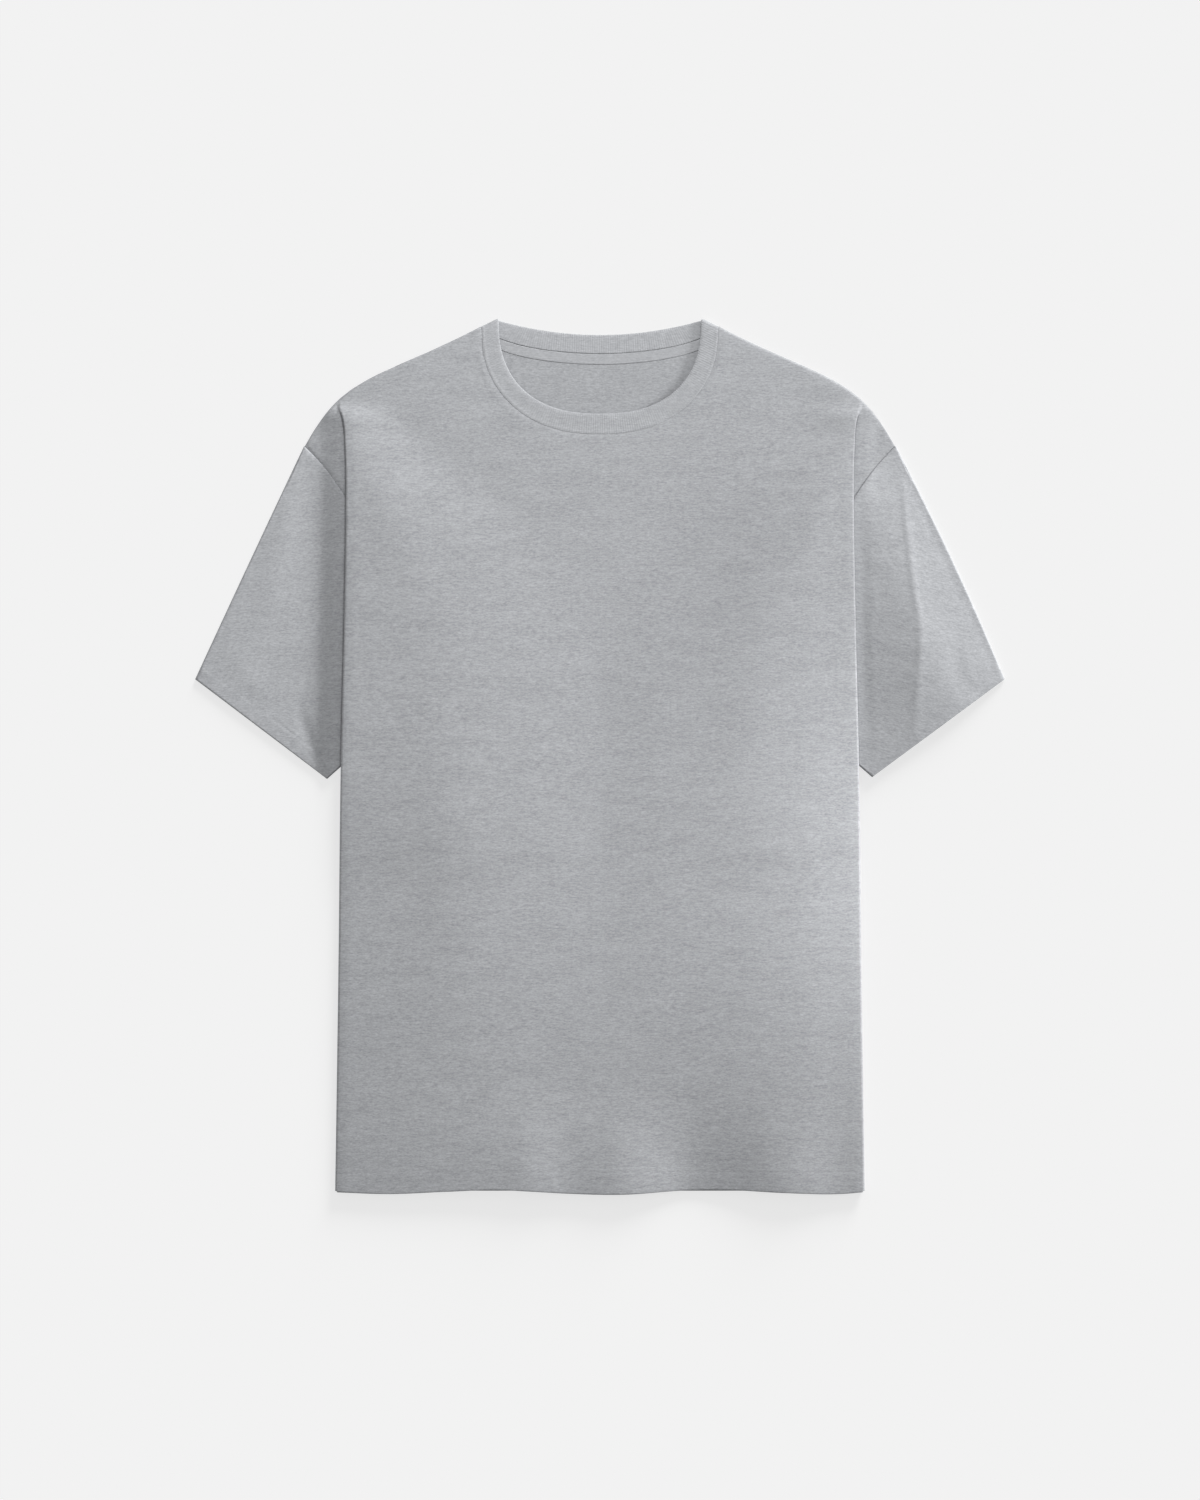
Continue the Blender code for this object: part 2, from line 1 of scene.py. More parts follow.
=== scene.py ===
# %% [markdown]
# # A heather grey crew neck t-shirt, laid flat on its back
# A t-shirt is a few pieces of thin knitted cloth sewn edge to edge: a front, a back, two sleeves, a
# ribbed neck band and a tape over the back neck seam. Here it lies on a surface with its sleeves pulled
# down beside the body, and the cloth that this leaves over is tucked in under each arm.
#
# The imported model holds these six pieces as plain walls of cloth. They are thick and coarse, because
# they are there to be weighed and touched. This lesson builds the same six again as thin, fine shells
# on the same form and adds what makes them cloth: seams, hems, soft creases, ribs and the speckle of
# heather yarn.

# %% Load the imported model
import math

import bpy
import numpy as np
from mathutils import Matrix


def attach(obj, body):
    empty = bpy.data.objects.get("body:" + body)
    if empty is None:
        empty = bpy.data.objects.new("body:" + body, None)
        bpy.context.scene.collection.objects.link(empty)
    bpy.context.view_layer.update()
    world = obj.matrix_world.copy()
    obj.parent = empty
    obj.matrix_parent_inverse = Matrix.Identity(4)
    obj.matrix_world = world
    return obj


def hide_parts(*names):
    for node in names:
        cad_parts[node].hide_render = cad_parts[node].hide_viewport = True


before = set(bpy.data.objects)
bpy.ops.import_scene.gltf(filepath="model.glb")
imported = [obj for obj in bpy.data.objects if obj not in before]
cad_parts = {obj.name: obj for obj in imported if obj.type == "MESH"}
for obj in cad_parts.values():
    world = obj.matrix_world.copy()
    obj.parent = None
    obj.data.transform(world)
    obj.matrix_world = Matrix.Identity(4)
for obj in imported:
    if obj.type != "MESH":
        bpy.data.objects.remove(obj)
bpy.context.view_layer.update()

MM = 0.001
print("packed nodes:", sorted(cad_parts))

# %% [markdown]
# ## Curves through a few points
# A pattern maker draws with a few points and a smooth line through them. Three helpers do the same
# here: `smooth` is an even S between two places, `swell` is a soft ridge along a line, and `curve` runs
# through a small table of points. The outline of the shirt, its armhole and the waves of its hem are
# then short tables that are easy to read and to change. All lengths are in millimetres until the meshes
# are made.

# %% Three helpers for smooth lines
def smooth(start, end, t):
    """0 before start, 1 after end and an even S between. start may be above end."""
    f = np.clip((np.asarray(t, float) - start) / (end - start), 0.0, 1.0)
    return f * f * (3.0 - 2.0 * f)


def swell(distance, width):
    """1 on a line, and evenly down to 0 on both sides of it."""
    return np.exp(-(distance / width) ** 2)


def curve(rows, key=0, value=1):
    """A smooth function through two columns of a table."""
    table = np.array(rows)
    x, y = table[:, key], table[:, value]
    slopes = np.gradient(y, x)

    def at(t):
        t = np.clip(np.asarray(t, float), x[0], x[-1])
        i = np.clip(np.searchsorted(x, t) - 1, 0, len(x) - 2)
        width = x[i + 1] - x[i]
        f = (t - x[i]) / width
        rise = (y[i + 1] - y[i]) / width
        bend_in = slopes[i] - rise
        bend_out = rise - slopes[i + 1]
        return y[i] + (y[i + 1] - y[i]) * f + width * f * (1 - f) * (bend_in * (1 - f) + bend_out * f)

    return at


print("half way along an S:", float(smooth(0.0, 10.0, 5.0)))

# %% The outline of the body
HEM_Y = -370.3
CUT_HALF_CHEST = 305.0
ROOT_X, ROOT_Y = 222.0, 300.0        # where the tuck under the arm starts, on the shoulder edge
UNDERARM_Y = 72.0
SIDE_FOLD = (                        # y, x
    (HEM_Y, 225.0), (-200.0, 222.5), (0.0, 220.0), (110.0, 217.5),
    (200.0, 216.0), (262.0, 216.5), (284.0, 218.0), (300.0, 222.0),
)
SHOULDER_EDGE = (                    # x, y
    (88.0, 372.3), (113.5, 358.8), (142.3, 345.2), (173.4, 331.5), (201.0, 317.9),
    (220.6, 304.3), (233.3, 290.7), (243.0, 277.1), (251.0, 263.5),
)
ARMHOLE = (                          # y, x
    (64.0, 137.0), (72.0, 141.5), (140.0, 175.0), (220.0, 216.0), (247.0, 235.5), (263.5, 251.0),
)
side_fold = curve(SIDE_FOLD)
shoulder_edge = curve(SHOULDER_EDGE)
armhole = curve(ARMHOLE)
print("visible width at the hem:", 2 * float(side_fold(HEM_Y)), "mm, cut width:", 2 * CUT_HALF_CHEST, "mm")

# %% [markdown]
# ## The neck opening
# The neck band is a strip of rib folded double and sewn round the opening. It turns over at each
# shoulder, so in plan it is two arcs: a deep one at the front and a shallow one at the back. The front
# arc is a squarish ellipse. Each arc gives two edges, the free fold and the seam, and the width between
# them is the band.

# %% Where the neck band lies
NECK_HALF_WIDTH = 85.9
NECK_TOP_Y = 370.0
FRONT_NECK_Y = 291.0
BACK_NECK_Y = 357.9
NECK_SQUARENESS = 2.4
SHOULDER_SLOPE = math.radians(26.0)
BAND_WIDTH = 16.4
BAND_WIDER_FRONT, WIDER_POWER = 1.4, 4       # it is a little wider at the middle of the front
BACK_BAND_WIDTH, BACK_POWER = 16.0, 3
NECK_SEAM = 0.06


def unit(angle):
    return np.stack([np.cos(angle), np.sin(angle)], axis=-1)


def band_edges(c, x, y, slope, width):
    """The free edge, and the seam edge square to it."""
    heading = np.where(c >= 0, -slope, math.pi + slope)
    free = np.stack([x, y], axis=-1)
    return free, free + unit(heading) * width[..., None]


def front_band(turn, reach=0.0):
    """Both edges at the front, from 0 at the right shoulder to pi at the left."""
    c, s = np.cos(turn), np.sin(turn)
    power = 2.0 / NECK_SQUARENESS
    x = NECK_HALF_WIDTH * np.sign(c) * np.abs(c) ** power
    y = NECK_TOP_Y - (NECK_TOP_Y - FRONT_NECK_Y) * np.abs(s) ** power
    across = np.abs(c) ** (2.0 - power) / NECK_HALF_WIDTH
    along = np.abs(s) ** (2.0 - power) / (NECK_TOP_Y - FRONT_NECK_Y)
    slope = np.maximum(np.arctan2(along, across), SHOULDER_SLOPE)
    return band_edges(c, x, y, slope, BAND_WIDTH + BAND_WIDER_FRONT * s ** WIDER_POWER + reach)


def back_band(turn, reach=0.0):
    """The same at the back."""
    c = np.cos(turn)
    y = BACK_NECK_Y + (NECK_TOP_Y - BACK_NECK_Y) * c ** 2
    outer = np.abs(c) ** BACK_POWER
    slope = math.pi / 2 - (math.pi / 2 - SHOULDER_SLOPE) * outer
    width = BACK_BAND_WIDTH + (BAND_WIDTH - BACK_BAND_WIDTH) * outer + reach
    return band_edges(c, NECK_HALF_WIDTH * c, y, slope, width)


print("neck opening:", 2 * NECK_HALF_WIDTH, "mm wide and", BACK_NECK_Y - FRONT_NECK_Y, "mm deep")

# %% [markdown]
# ## The stack of plies
# Seen from the side the shirt is a stack. The back lies on the surface and the front on top. Under the
# arm the front folds under along the side edge, runs in, folds again and comes out as the drop of the
# shoulder. The sleeve is sewn to that drop and so starts between front and back, two plies up, before
# it comes down to the surface beside the body. The functions below give the middle height of each ply
# at any place.

# %% Heights and fold sizes
PACKED_CLOTH = 1.2
GAP = 0.3
PLY = PACKED_CLOTH + GAP
BACK_Z = PACKED_CLOTH / 2
FRONT_REST_Z, FRONT_NECK_Z = 3.6, 4.0
NECK_RISE_FROM = 180.0
CHEST_Y = 200.0
FOLD_R = PLY / 2
FRONT_LIP_R = 0.8, 1.5               # radius of the front's side edge at the tuck's root and below the chest
TURN_RUN = 20.0                      # length over which the tuck turns over
SHORTEST_TUCK, STRAIGHT_FROM = 0.3, 0.8
FOLD_EASE = 0.2                      # how much shorter the cloth in a fold is while it is half turned
SHARPEST_TURN = 1e-4
BACK_SIDE_INSET = 1.5
SLEEVE_PUFF_LEFT, SLEEVE_PUFF_RIGHT = 0.1, 3.0
PUFF_REACH = 62.0
SLEEVE_LEVEL, SLEEVE_DROP = 3.5, 22.0        # beside the body it starts to come down here and is down there
SLEEVE_LIFT = 110.0, 45.0            # it lifts the front from the first to the second of these
SLEEVE_HEM_SLOPE = 0.88


def turned(y):
    return smooth(ROOT_Y, ROOT_Y - TURN_RUN, y)


def inner_fold(y):
    """x of the tuck's inner edge: the second fold above the underarm, the side seam below it."""
    seam = 2 * side_fold(y) - CUT_HALF_CHEST
    underarm_x = 2 * side_fold(UNDERARM_Y) - CUT_HALF_CHEST
    fold = ROOT_X + (underarm_x - ROOT_X) * (ROOT_Y - y) / (ROOT_Y - UNDERARM_Y)
    return np.where(y < UNDERARM_Y, seam, fold)


def lip_radius(y):
    return FRONT_LIP_R[0] + (FRONT_LIP_R[1] - FRONT_LIP_R[0]) * smooth(ROOT_Y, CHEST_Y, y)


def back_lip_radius(y):
    return FOLD_R + 0.0 * y


def tuck_length(y, radii, inset):
    """Length of the straight ply between the two folds."""
    full = side_fold(y) - inset - PACKED_CLOTH / 2 - inner_fold(y) - radii
    return SHORTEST_TUCK + np.maximum(full - SHORTEST_TUCK, 0.0) * smooth(STRAIGHT_FROM, 1.0, turned(y))


def bend(radius, turn, share):
    """How far out and how far down the cloth has gone, this share of the way round a fold."""
    length = math.pi * radius * (1 - FOLD_EASE * np.sin(turn))
    turn = np.maximum(turn, SHARPEST_TURN)
    return length / turn * np.sin(turn * share), length / turn * (1 - np.cos(turn * share))


def tuck_height(y, radii, inset=0.0):
    turn = math.pi * turned(y)
    return bend(radii, turn, 1.0)[1] + tuck_length(y, radii, inset) * np.sin(turn)


def beside(x, y):
    """0 between the plies of the body, 1 where the sleeve has come down to the surface."""
    return smooth(SLEEVE_LEVEL, SLEEVE_DROP, np.abs(x) - side_fold(y))


def under_ply(x, y):
    """The back of the shoulder's drop and the under ply of the sleeve."""
    return BACK_Z + tuck_height(y, 2 * FOLD_R, BACK_SIDE_INSET) * (1 - beside(x, y))


print("height of one ply in the stack:", PLY, "mm")

# %% [markdown]
# ## Creases placed one by one
# Cloth that was smoothed by hand keeps a few long, soft creases. Each is drawn as a short line with its
# own width and height, fades out at both ends, and is added to the height of the ply that it lies in. A
# low light then shows it. The hem lies in uneven waves, which come from a table of its own.

# %% Creases and hem waves
CREASE_FADE = -0.15, 0.35            # shares of its length over which a crease fades, at both ends


def crease(x, y, start, end, width, height):
    """A soft ridge, or a trough where height is negative, from start to end."""
    a, b = np.array(start), np.array(end)
    way = (b - a) / np.linalg.norm(b - a)
    along = ((x - a[0]) * way[0] + (y - a[1]) * way[1]) / np.linalg.norm(b - a)
    off = (x - a[0]) * way[1] - (y - a[1]) * way[0]
    fade = smooth(*CREASE_FADE, along) * smooth(*CREASE_FADE, 1.0 - along)
    return height * fade * swell(off, width)


HEM_WAVES = (            # x, rise in z, shift in y
    (-225.0, 0.1, 0.0), (-180.0, 0.4, -1.5), (-130.0, 0.8, 0.5), (-86.0, 1.6, 2.0), (-60.0, 2.1, 0.8),
    (-30.0, 1.6, -1.0), (17.0, 2.2, -2.0), (80.0, -0.6, 1.7), (106.0, -0.3, 1.9), (158.0, 0.9, -0.5),
    (204.0, -0.15, -1.5), (225.0, 0.0, 0.0),
)
HEM_WAVE_REACH = 100.0
HEM_WAVE_GAIN = 3.2
FRONT_CREASES = (        # start, end, width, height
    ((-150.0, 60.0), (-95.0, -260.0), 34.0, 0.7),
    ((40.0, 170.0), (75.0, -190.0), 40.0, 0.6),
    ((150.0, 235.0), (120.0, -60.0), 30.0, 0.8),
    ((-60.0, 250.0), (-20.0, 60.0), 30.0, 0.4),
    ((-205.0, 250.0), (-150.0, 150.0), 16.0, 0.6),
    ((206.0, 262.0), (170.0, 170.0), 14.0, 0.5),
)
hem_rise = curve(HEM_WAVES, 0, 1)
hem_shift = curve(HEM_WAVES, 0, 2)
print("highest hem wave:", round(HEM_WAVE_GAIN * max(row[1] for row in HEM_WAVES), 2), "mm")

# %% [markdown]
# ## Seams and hems as small relief
# A seam pulls the cloth down into a narrow groove. A hem is the cloth turned up and stitched, so it is
# a little thicker, and its line of stitches sinks in. These are real height and not only a painted
# line, because they have to show in any light.

# %% Grooves at the armhole and at the neck, and the step of a hem
HEM_DEPTH, SLEEVE_HEM_DEPTH = 19.0, 15.0
HEM_STEP, STEP_OUT, STEP_IN = 0.16, 1.2, 0.6         # height, and how far its slope goes to each side
STITCH_SINK, STITCH_WIDTH, STITCH_IN = 0.17, 1.1, 2.0
SEAM_SINK, SEAM_WIDTH = 0.85, 1.5
SLEEVE_SEAM_SINK, SLEEVE_SEAM_WIDTH = 0.3, 1.8
SEAM_LEAN = 0.75         # the armhole leans, so this much of a distance along x is square to it
SEAM_REACH = 0.3         # share of the sleeve's length that the armhole's groove can touch


def hem_relief(distance, depth):
    """Height that a hem adds at this distance from the cloth's edge."""
    folded = HEM_STEP * smooth(depth + STEP_OUT, depth - STEP_IN, distance)
    return folded - STITCH_SINK * swell(distance - depth + STITCH_IN, STITCH_WIDTH)


def seam_relief(distance, sink=SEAM_SINK, width=SEAM_WIDTH):
    return -sink * swell(distance, width)


neck_seam_line = front_band(np.linspace(0.0, math.pi, 121), NECK_SEAM)[1]


def neck_distance(x, y):
    """Distance to the seam of the front neck band."""
    x, y = np.broadcast_arrays(np.asarray(x, float), np.asarray(y, float))
    away = (x[..., None] - neck_seam_line[:, 0]) ** 2 + (y[..., None] - neck_seam_line[:, 1]) ** 2
    return np.sqrt(away.min(axis=-1))


print("a hem is", HEM_STEP, "mm higher than the cloth beside it")

# %% The sleeves' own creases
OUTER_CORNER = (344.0, 65.5)         # where a sleeve's top edge meets its hem
RIGHT_RIDGE = (          # y, x
    (20.0, 267.5), (39.0, 268.5), (88.0, 272.0), (110.0, 272.0), (139.0, 267.5), (235.0, 257.0),
)
RIDGE_HEIGHT, RIDGE_WIDTH, RIDGE_SHARPNESS = 4.6, 58.0, 0.03
RIDGE_LINE, RIDGE_LINE_WIDTH = 0.45, 3.0
RIDGE_INSET, RIDGE_ROOM = 1.0, 14.0
RIDGE_LOW, RIDGE_HIGH = (-20.0, 80.0), (262.0, 190.0)        # where it fades out at both ends
LEFT_BELLY, BELLY_SHAPE, BELLY_HIGH = 0.3, 1.6, (270.0, 150.0)
FADE_AT_BODY, FADE_AT_EDGE = (2.0, 15.0), (0.0, 10.0)
SLEEVE_CREASES = (       # start, end, width, height
    ((300.0, 96.0), (308.0, 52.0), 7.0, -0.5),
    ((286.0, 190.0), (268.0, 228.0), 7.0, 0.7),
    ((-256.0, 40.0), (-238.0, -10.0), 5.0, -0.9),
    ((-262.0, 226.0), (-285.0, 120.0), 12.0, 0.5),
    ((-320.0, 96.0), (-276.0, 40.0), 10.0, 0.3),
)


right_ridge = curve(RIGHT_RIDGE)


def outer_edge(y):
    """x of the sleeve's top edge, from the shoulder to the hem."""
    (x0, y0), (x1, y1) = SHOULDER_EDGE[-1], OUTER_CORNER
    return x0 + (x1 - x0) * (y0 - y) / (y0 - y1)


def sleeve_relief(x, y):
    """What the creases add to the upper ply beside the body."""
    size, near, far, ridge = np.abs(x), side_fold(y), outer_edge(y), right_ridge(y)
    free = smooth(*FADE_AT_BODY, size - near) * smooth(*FADE_AT_EDGE, far - size)
    reach = np.where(size < ridge, ridge - near - RIDGE_INSET, np.maximum(far - ridge, RIDGE_ROOM))
    tent = 1.0 + RIDGE_SHARPNESS - np.sqrt(((size - ridge) / reach) ** 2 + RIDGE_SHARPNESS ** 2)
    room = np.clip((far - ridge) / RIDGE_WIDTH, 0.0, 1.0)
    line = RIDGE_LINE * swell(size - ridge, RIDGE_LINE_WIDTH)
    open_ridge = smooth(*RIDGE_LOW, y) * smooth(*RIDGE_HIGH, y)
    right = (RIDGE_HEIGHT * room * np.clip(tent, 0.0, 1.0) + line) * open_ridge
    share = np.clip((size - near) / np.maximum(far - near, FADE_AT_EDGE[1]), 0.0, 1.0)
    left = LEFT_BELLY * np.sin(math.pi * share ** BELLY_SHAPE) * smooth(*BELLY_HIGH, y)
    drawn = sum(crease(x, y, *row) for row in SLEEVE_CREASES)
    return free * (np.where(np.asarray(x) > 0, right, left) + drawn)


print("right sleeve's ridge at y = 100:", round(float(sleeve_relief(275.0, 100.0)), 2), "mm")

# %% Heights of the upper plies
SIDE_RISE, SIDE_RISE_AT_SHOULDER, SIDE_RISE_PAST = 150.0, 50.0, 8.0
WIDE_RISE_Y = 160.0
RIGHT_FALL, FALL_FROM, FALL_TOP, FALL_PAST = 2.2, 60.0, 170.0, 6.0
OPEN_FRONT = 290.0, 230.0            # the front is free of the shoulders below this
LIP_RIDGE, LIP_RIDGE_IN, LIP_RIDGE_WIDTH = 0.12, 3.4, 1.7
NECK_RIDGE, NECK_RIDGE_OUT, NECK_RIDGE_WIDTH = 0.22, 3.4, 1.8
NECK_SINK = 0.1


def drop_gap(y):
    """Height between the two plies of the shoulder's drop."""
    flat = FRONT_NECK_Z - BACK_Z
    return flat + (PLY - flat) * turned(y)


def upper_ply(x, y):
    """The front of the shoulder's drop and the upper ply of the sleeve."""
    inside = smooth(0.0, PUFF_REACH, outer_edge(y) - np.abs(x))
    puff = SLEEVE_PUFF_LEFT + (SLEEVE_PUFF_RIGHT - SLEEVE_PUFF_LEFT) * inside * (np.asarray(x) > 0)
    return under_ply(x, y) + drop_gap(y) + puff * beside(x, y) * turned(y) + sleeve_relief(x, y)


def sleeve_lift(x, y):
    """0 to 1: how much the front is raised by the sleeve that lies under it."""
    low = ARMHOLE[0][0] - (np.abs(x) - ARMHOLE[0][1]) * SLEEVE_HEM_SLOPE
    return smooth(low - SLEEVE_LIFT[0], low - SLEEVE_LIFT[1], y)


def front_side_height(y):
    """The front at its side edge."""
    radii = lip_radius(y) + FOLD_R
    x = side_fold(y) - inner_fold(y)
    spot = side_fold(y) - x * turned(y)
    above = under_ply(spot, y) + drop_gap(y) + tuck_height(y, radii)
    below = BACK_Z + 2 * PLY + 2 * PLY * sleeve_lift(side_fold(y), y) + 2 * lip_radius(y)
    return np.where(y < UNDERARM_Y, below, above)


def front_height(x, y):
    """The middle of the front over the whole body."""
    size = np.abs(x)
    middle = FRONT_REST_Z + (FRONT_NECK_Z - FRONT_REST_Z) * smooth(NECK_RISE_FROM, ROOT_Y, y)
    fold, edge = inner_fold(y), side_fold(y)
    run = SIDE_RISE_AT_SHOULDER + (SIDE_RISE - SIDE_RISE_AT_SHOULDER) * smooth(ROOT_Y, WIDE_RISE_Y, y)
    high = middle + (front_side_height(y) - middle) * smooth(fold - run, fold + SIDE_RISE_PAST, size)
    open_front = smooth(*OPEN_FRONT, y)
    right = smooth(FALL_FROM, FALL_TOP, x) * smooth(edge + FALL_PAST, FALL_TOP, x) * RIGHT_FALL * open_front
    lip = LIP_RIDGE * swell(edge - LIP_RIDGE_IN - size, LIP_RIDGE_WIDTH) * open_front
    waves = HEM_WAVE_GAIN * hem_rise(x) * smooth(HEM_Y + HEM_WAVE_REACH, HEM_Y, y)
    drawn = sum(crease(x, y, *row) for row in FRONT_CREASES)
    near = neck_distance(x, y)
    neck = seam_relief(near, NECK_SINK) + NECK_RIDGE * swell(near - NECK_RIDGE_OUT, NECK_RIDGE_WIDTH)
    return high + right + lip + waves + drawn + neck + hem_relief(y - HEM_Y, HEM_DEPTH)


def back_height(x, y):
    return BACK_Z + 0.0 * x


print("front at its middle:", round(float(front_height(0.0, 0.0)), 2), "mm above the surface")

# %% [markdown]
# ## The panels as columns of points
# Front and back are each one grid. A column runs from the hem, or from the underarm, up to the neckline
# or the shoulder. From the middle of the panel outwards the columns pass through five zones: the main
# face, the fold at the side, the tuck, the second fold, and the drop of the shoulder. `place` says
# where a column is at any y.

# %% How finely the cloth is divided
BAND_STEPS = 80
BACK_BAND_Z = 1.0
SHOULDER_COLUMNS = np.linspace(103.0, 212.0, 36)
LOWER_ROWS = np.concatenate([np.linspace(0.0, 0.065, 24, endpoint=False), np.linspace(0.065, 1.0, 84)])
UPPER_ROWS = np.linspace(0.0, 0.972, 56)[1:]
EDGE_TURNS = (0.0, 20.0, 35.0, 50.0, 62.0, 74.0, 85.0)
EDGE_STOP = 0.34
LIP_STEPS, TUCK_STEPS = 8, 5
DROP_SHARES = (*np.linspace(0.0, 0.93, 14)[1:], 0.955, 0.975, 0.99, 1.0)
NECK_MATCH = 0.05
FIRST_TOP, TRIES = 290.0, 30         # a place that can't be worked out directly is found by trying
GUSSET_RISE = 1.0


def neck_columns(band):
    """Where a panel's columns meet the neck: one for each station of the band and one for its turn."""
    seam = band(np.linspace(math.pi / 2, 0.0, BAND_STEPS // 2 + 1), NECK_SEAM)[1]
    corner = seam[-1] + (FRONT_NECK_Z - BACK_BAND_Z) / 2 * unit(math.pi / 2 - SHOULDER_SLOPE)
    return np.append(seam[:, 0], corner[0]), np.append(seam[:, 1], corner[1])


class Panel:
    """What differs between the front and the back."""

    def __init__(self, name, way, neck, inset, lip, height):
        self.name = name
        self.way = way              # the tuck goes down from the front and up from the back
        self.neck_x, self.neck_y = neck
        self.inset = inset
        self.lip = lip
        self.height = height


FRONT = Panel("front", -1, neck_columns(front_band), 0.0, lip_radius, front_height)
BACK = Panel("back", 1, neck_columns(back_band), BACK_SIDE_INSET, back_lip_radius, back_height)


def zones(panel):
    """The columns of one half: zone and share of it, from the middle of the panel out to the armhole."""
    widest = ROOT_X - panel.inset - PACKED_CLOTH / 2 - float(panel.lip(ROOT_Y))
    listed = [("main", x / widest) for x in (*panel.neck_x, *SHOULDER_COLUMNS, widest)]
    listed += [("lip", i / LIP_STEPS) for i in range(1, LIP_STEPS + 1)]
    listed += [("tuck", i / TUCK_STEPS) for i in range(1, TUCK_STEPS + 1)]
    listed += [("inner", i / LIP_STEPS) for i in range(1, LIP_STEPS + 1)]
    listed += [("drop", float(share)) for share in DROP_SHARES]
    return listed


print("columns in half a front:", len(zones(FRONT)))

# %% Where a column is
def main_x(panel, share, y):
    return (side_fold(y) - panel.inset - PACKED_CLOTH / 2 - panel.lip(y)) * share


def place(panel, side, zone, share, y):
    """x and z of the panel's middle surface in one of its columns, at y."""
    lip = panel.lip(y)
    start_x = side_fold(y) - panel.inset - PACKED_CLOTH / 2 - lip
    if zone == "main":
        x = side * main_x(panel, share, y)
        return x, panel.height(x, y)
    start_z = panel.height(side * start_x, y)
    turn = math.pi * turned(y)
    length = tuck_length(y, lip + FOLD_R, panel.inset)
    if zone == "lip":
        out, down = bend(lip, turn, share)
        return side * (start_x + out), start_z + panel.way * down
    out, down = bend(lip, turn, 1.0)
    run = length * (share if zone == "tuck" else 1.0)
    x = start_x + out + run * np.cos(turn)
    z = start_z + panel.way * (down + run * np.sin(turn))
    if zone == "tuck":
        if panel is FRONT:
            lower = sleeve_lift(x, y) - sleeve_lift(start_x, y)
            z = z + 2 * PLY * lower * (y < UNDERARM_Y)
        return side * x, z
    whole_out, whole_down = bend(FOLD_R, turn, 1.0)
    left_out, left_down = bend(FOLD_R, turn, 1.0 - share if zone == "inner" else 0.0)
    x = x + whole_out - left_out
    z = z + panel.way * (whole_down - left_down)
    if zone == "inner":
        return side * x, z
    x = x + (armhole(y) - x) * share
    return side * x, drop_height(panel, side * x, y)


def drop_height(panel, x, y):
    """The drop of the shoulder, which sinks into the armhole seam."""
    ply = upper_ply if panel is FRONT else under_ply
    seam = seam_relief((armhole(y) - np.abs(x)) * SEAM_LEAN) if panel is FRONT else 0.0
    return ply(x, y) + seam * turned(y)


def surface_at(panel, x, y, zone):
    if zone == "main":
        return float(panel.height(np.array(x), np.array(y)))
    return float(drop_height(panel, np.array(x), np.array(y)))


def at_neck(panel, zone, x):
    return zone == "main" and abs(x) < panel.neck_x[-1] - NECK_MATCH


def top_of(panel, side, zone, share):
    """The y at which a column reaches the neckline or the shoulder edge."""
    y = np.array([FIRST_TOP])
    for _ in range(TRIES):
        x = main_x(panel, share, y) if zone == "main" else np.abs(place(panel, side, zone, share, y)[0])
        if zone == "drop" and share == 1.0:
            edge = np.array([SHOULDER_EDGE[-1][1]])
        elif at_neck(panel, zone, x[0]):
            edge = np.interp(x, panel.neck_x, panel.neck_y)
        else:
            edge = shoulder_edge(x)
        y = 0.5 * y + 0.5 * edge
    return float(y[0])


print("the front's middle reaches y =", round(top_of(FRONT, 1, "main", 0.0), 1), "mm at the neck")

# %% The edge where front and back curve towards each other
SLOPE_STEP = 0.5


def shoulder_slope(x):
    size = np.abs(x)
    return (shoulder_edge(size + SLOPE_STEP) - shoulder_edge(size - SLOPE_STEP)) / (2 * SLOPE_STEP)


def edge_radius(x, y):
    """Half the height between front and back at the shoulder edge."""
    flat = (FRONT_NECK_Z - BACK_Z) / 2
    drop = (upper_ply(x, y) - under_ply(x, y)) / 2
    return np.where(np.abs(x) < ROOT_X, flat, drop)


def edge_round(x, y, radius):
    """How far a panel has curved over, this close to the shoulder edge."""
    distance = (shoulder_edge(np.abs(x)) - y) / np.sqrt(1 + shoulder_slope(x) ** 2) - PACKED_CLOTH / 2
    inside = np.clip(radius - distance, 0.0, radius)
    return radius - np.sqrt(np.maximum(radius ** 2 - inside ** 2, 0.0))


def panel_edge(panel, side, zone, share, top):
    """The last rows of a column."""
    x = float(place(panel, side, zone, share, np.array([top]))[0][0])
    radius = float(edge_radius(x, top))
    slope = float(shoulder_slope(x))
    square = np.array([-slope * side, 1.0]) / math.hypot(slope, 1.0)
    leaning = float(smooth(panel.neck_x[-1], SHOULDER_COLUMNS[-1], abs(x)))
    way = np.array([0.0, 1.0]) * (1 - leaning) + square * leaning
    way /= way @ square
    points = []
    for turn in np.radians(EDGE_TURNS):
        inset = radius * (1 - math.sin(turn))
        if at_neck(panel, zone, x):
            spot = np.array([x, top - inset])
            drop = float(edge_round(spot[0], spot[1], radius))
        else:
            spot = np.array([x, top]) - way * (inset + PACKED_CLOTH / 2)
            drop = radius * (1 - math.cos(turn))
        height = surface_at(panel, spot[0], spot[1], zone)
        points.append((spot[0], spot[1], height + panel.way * min(drop, radius - EDGE_STOP)))
    return points


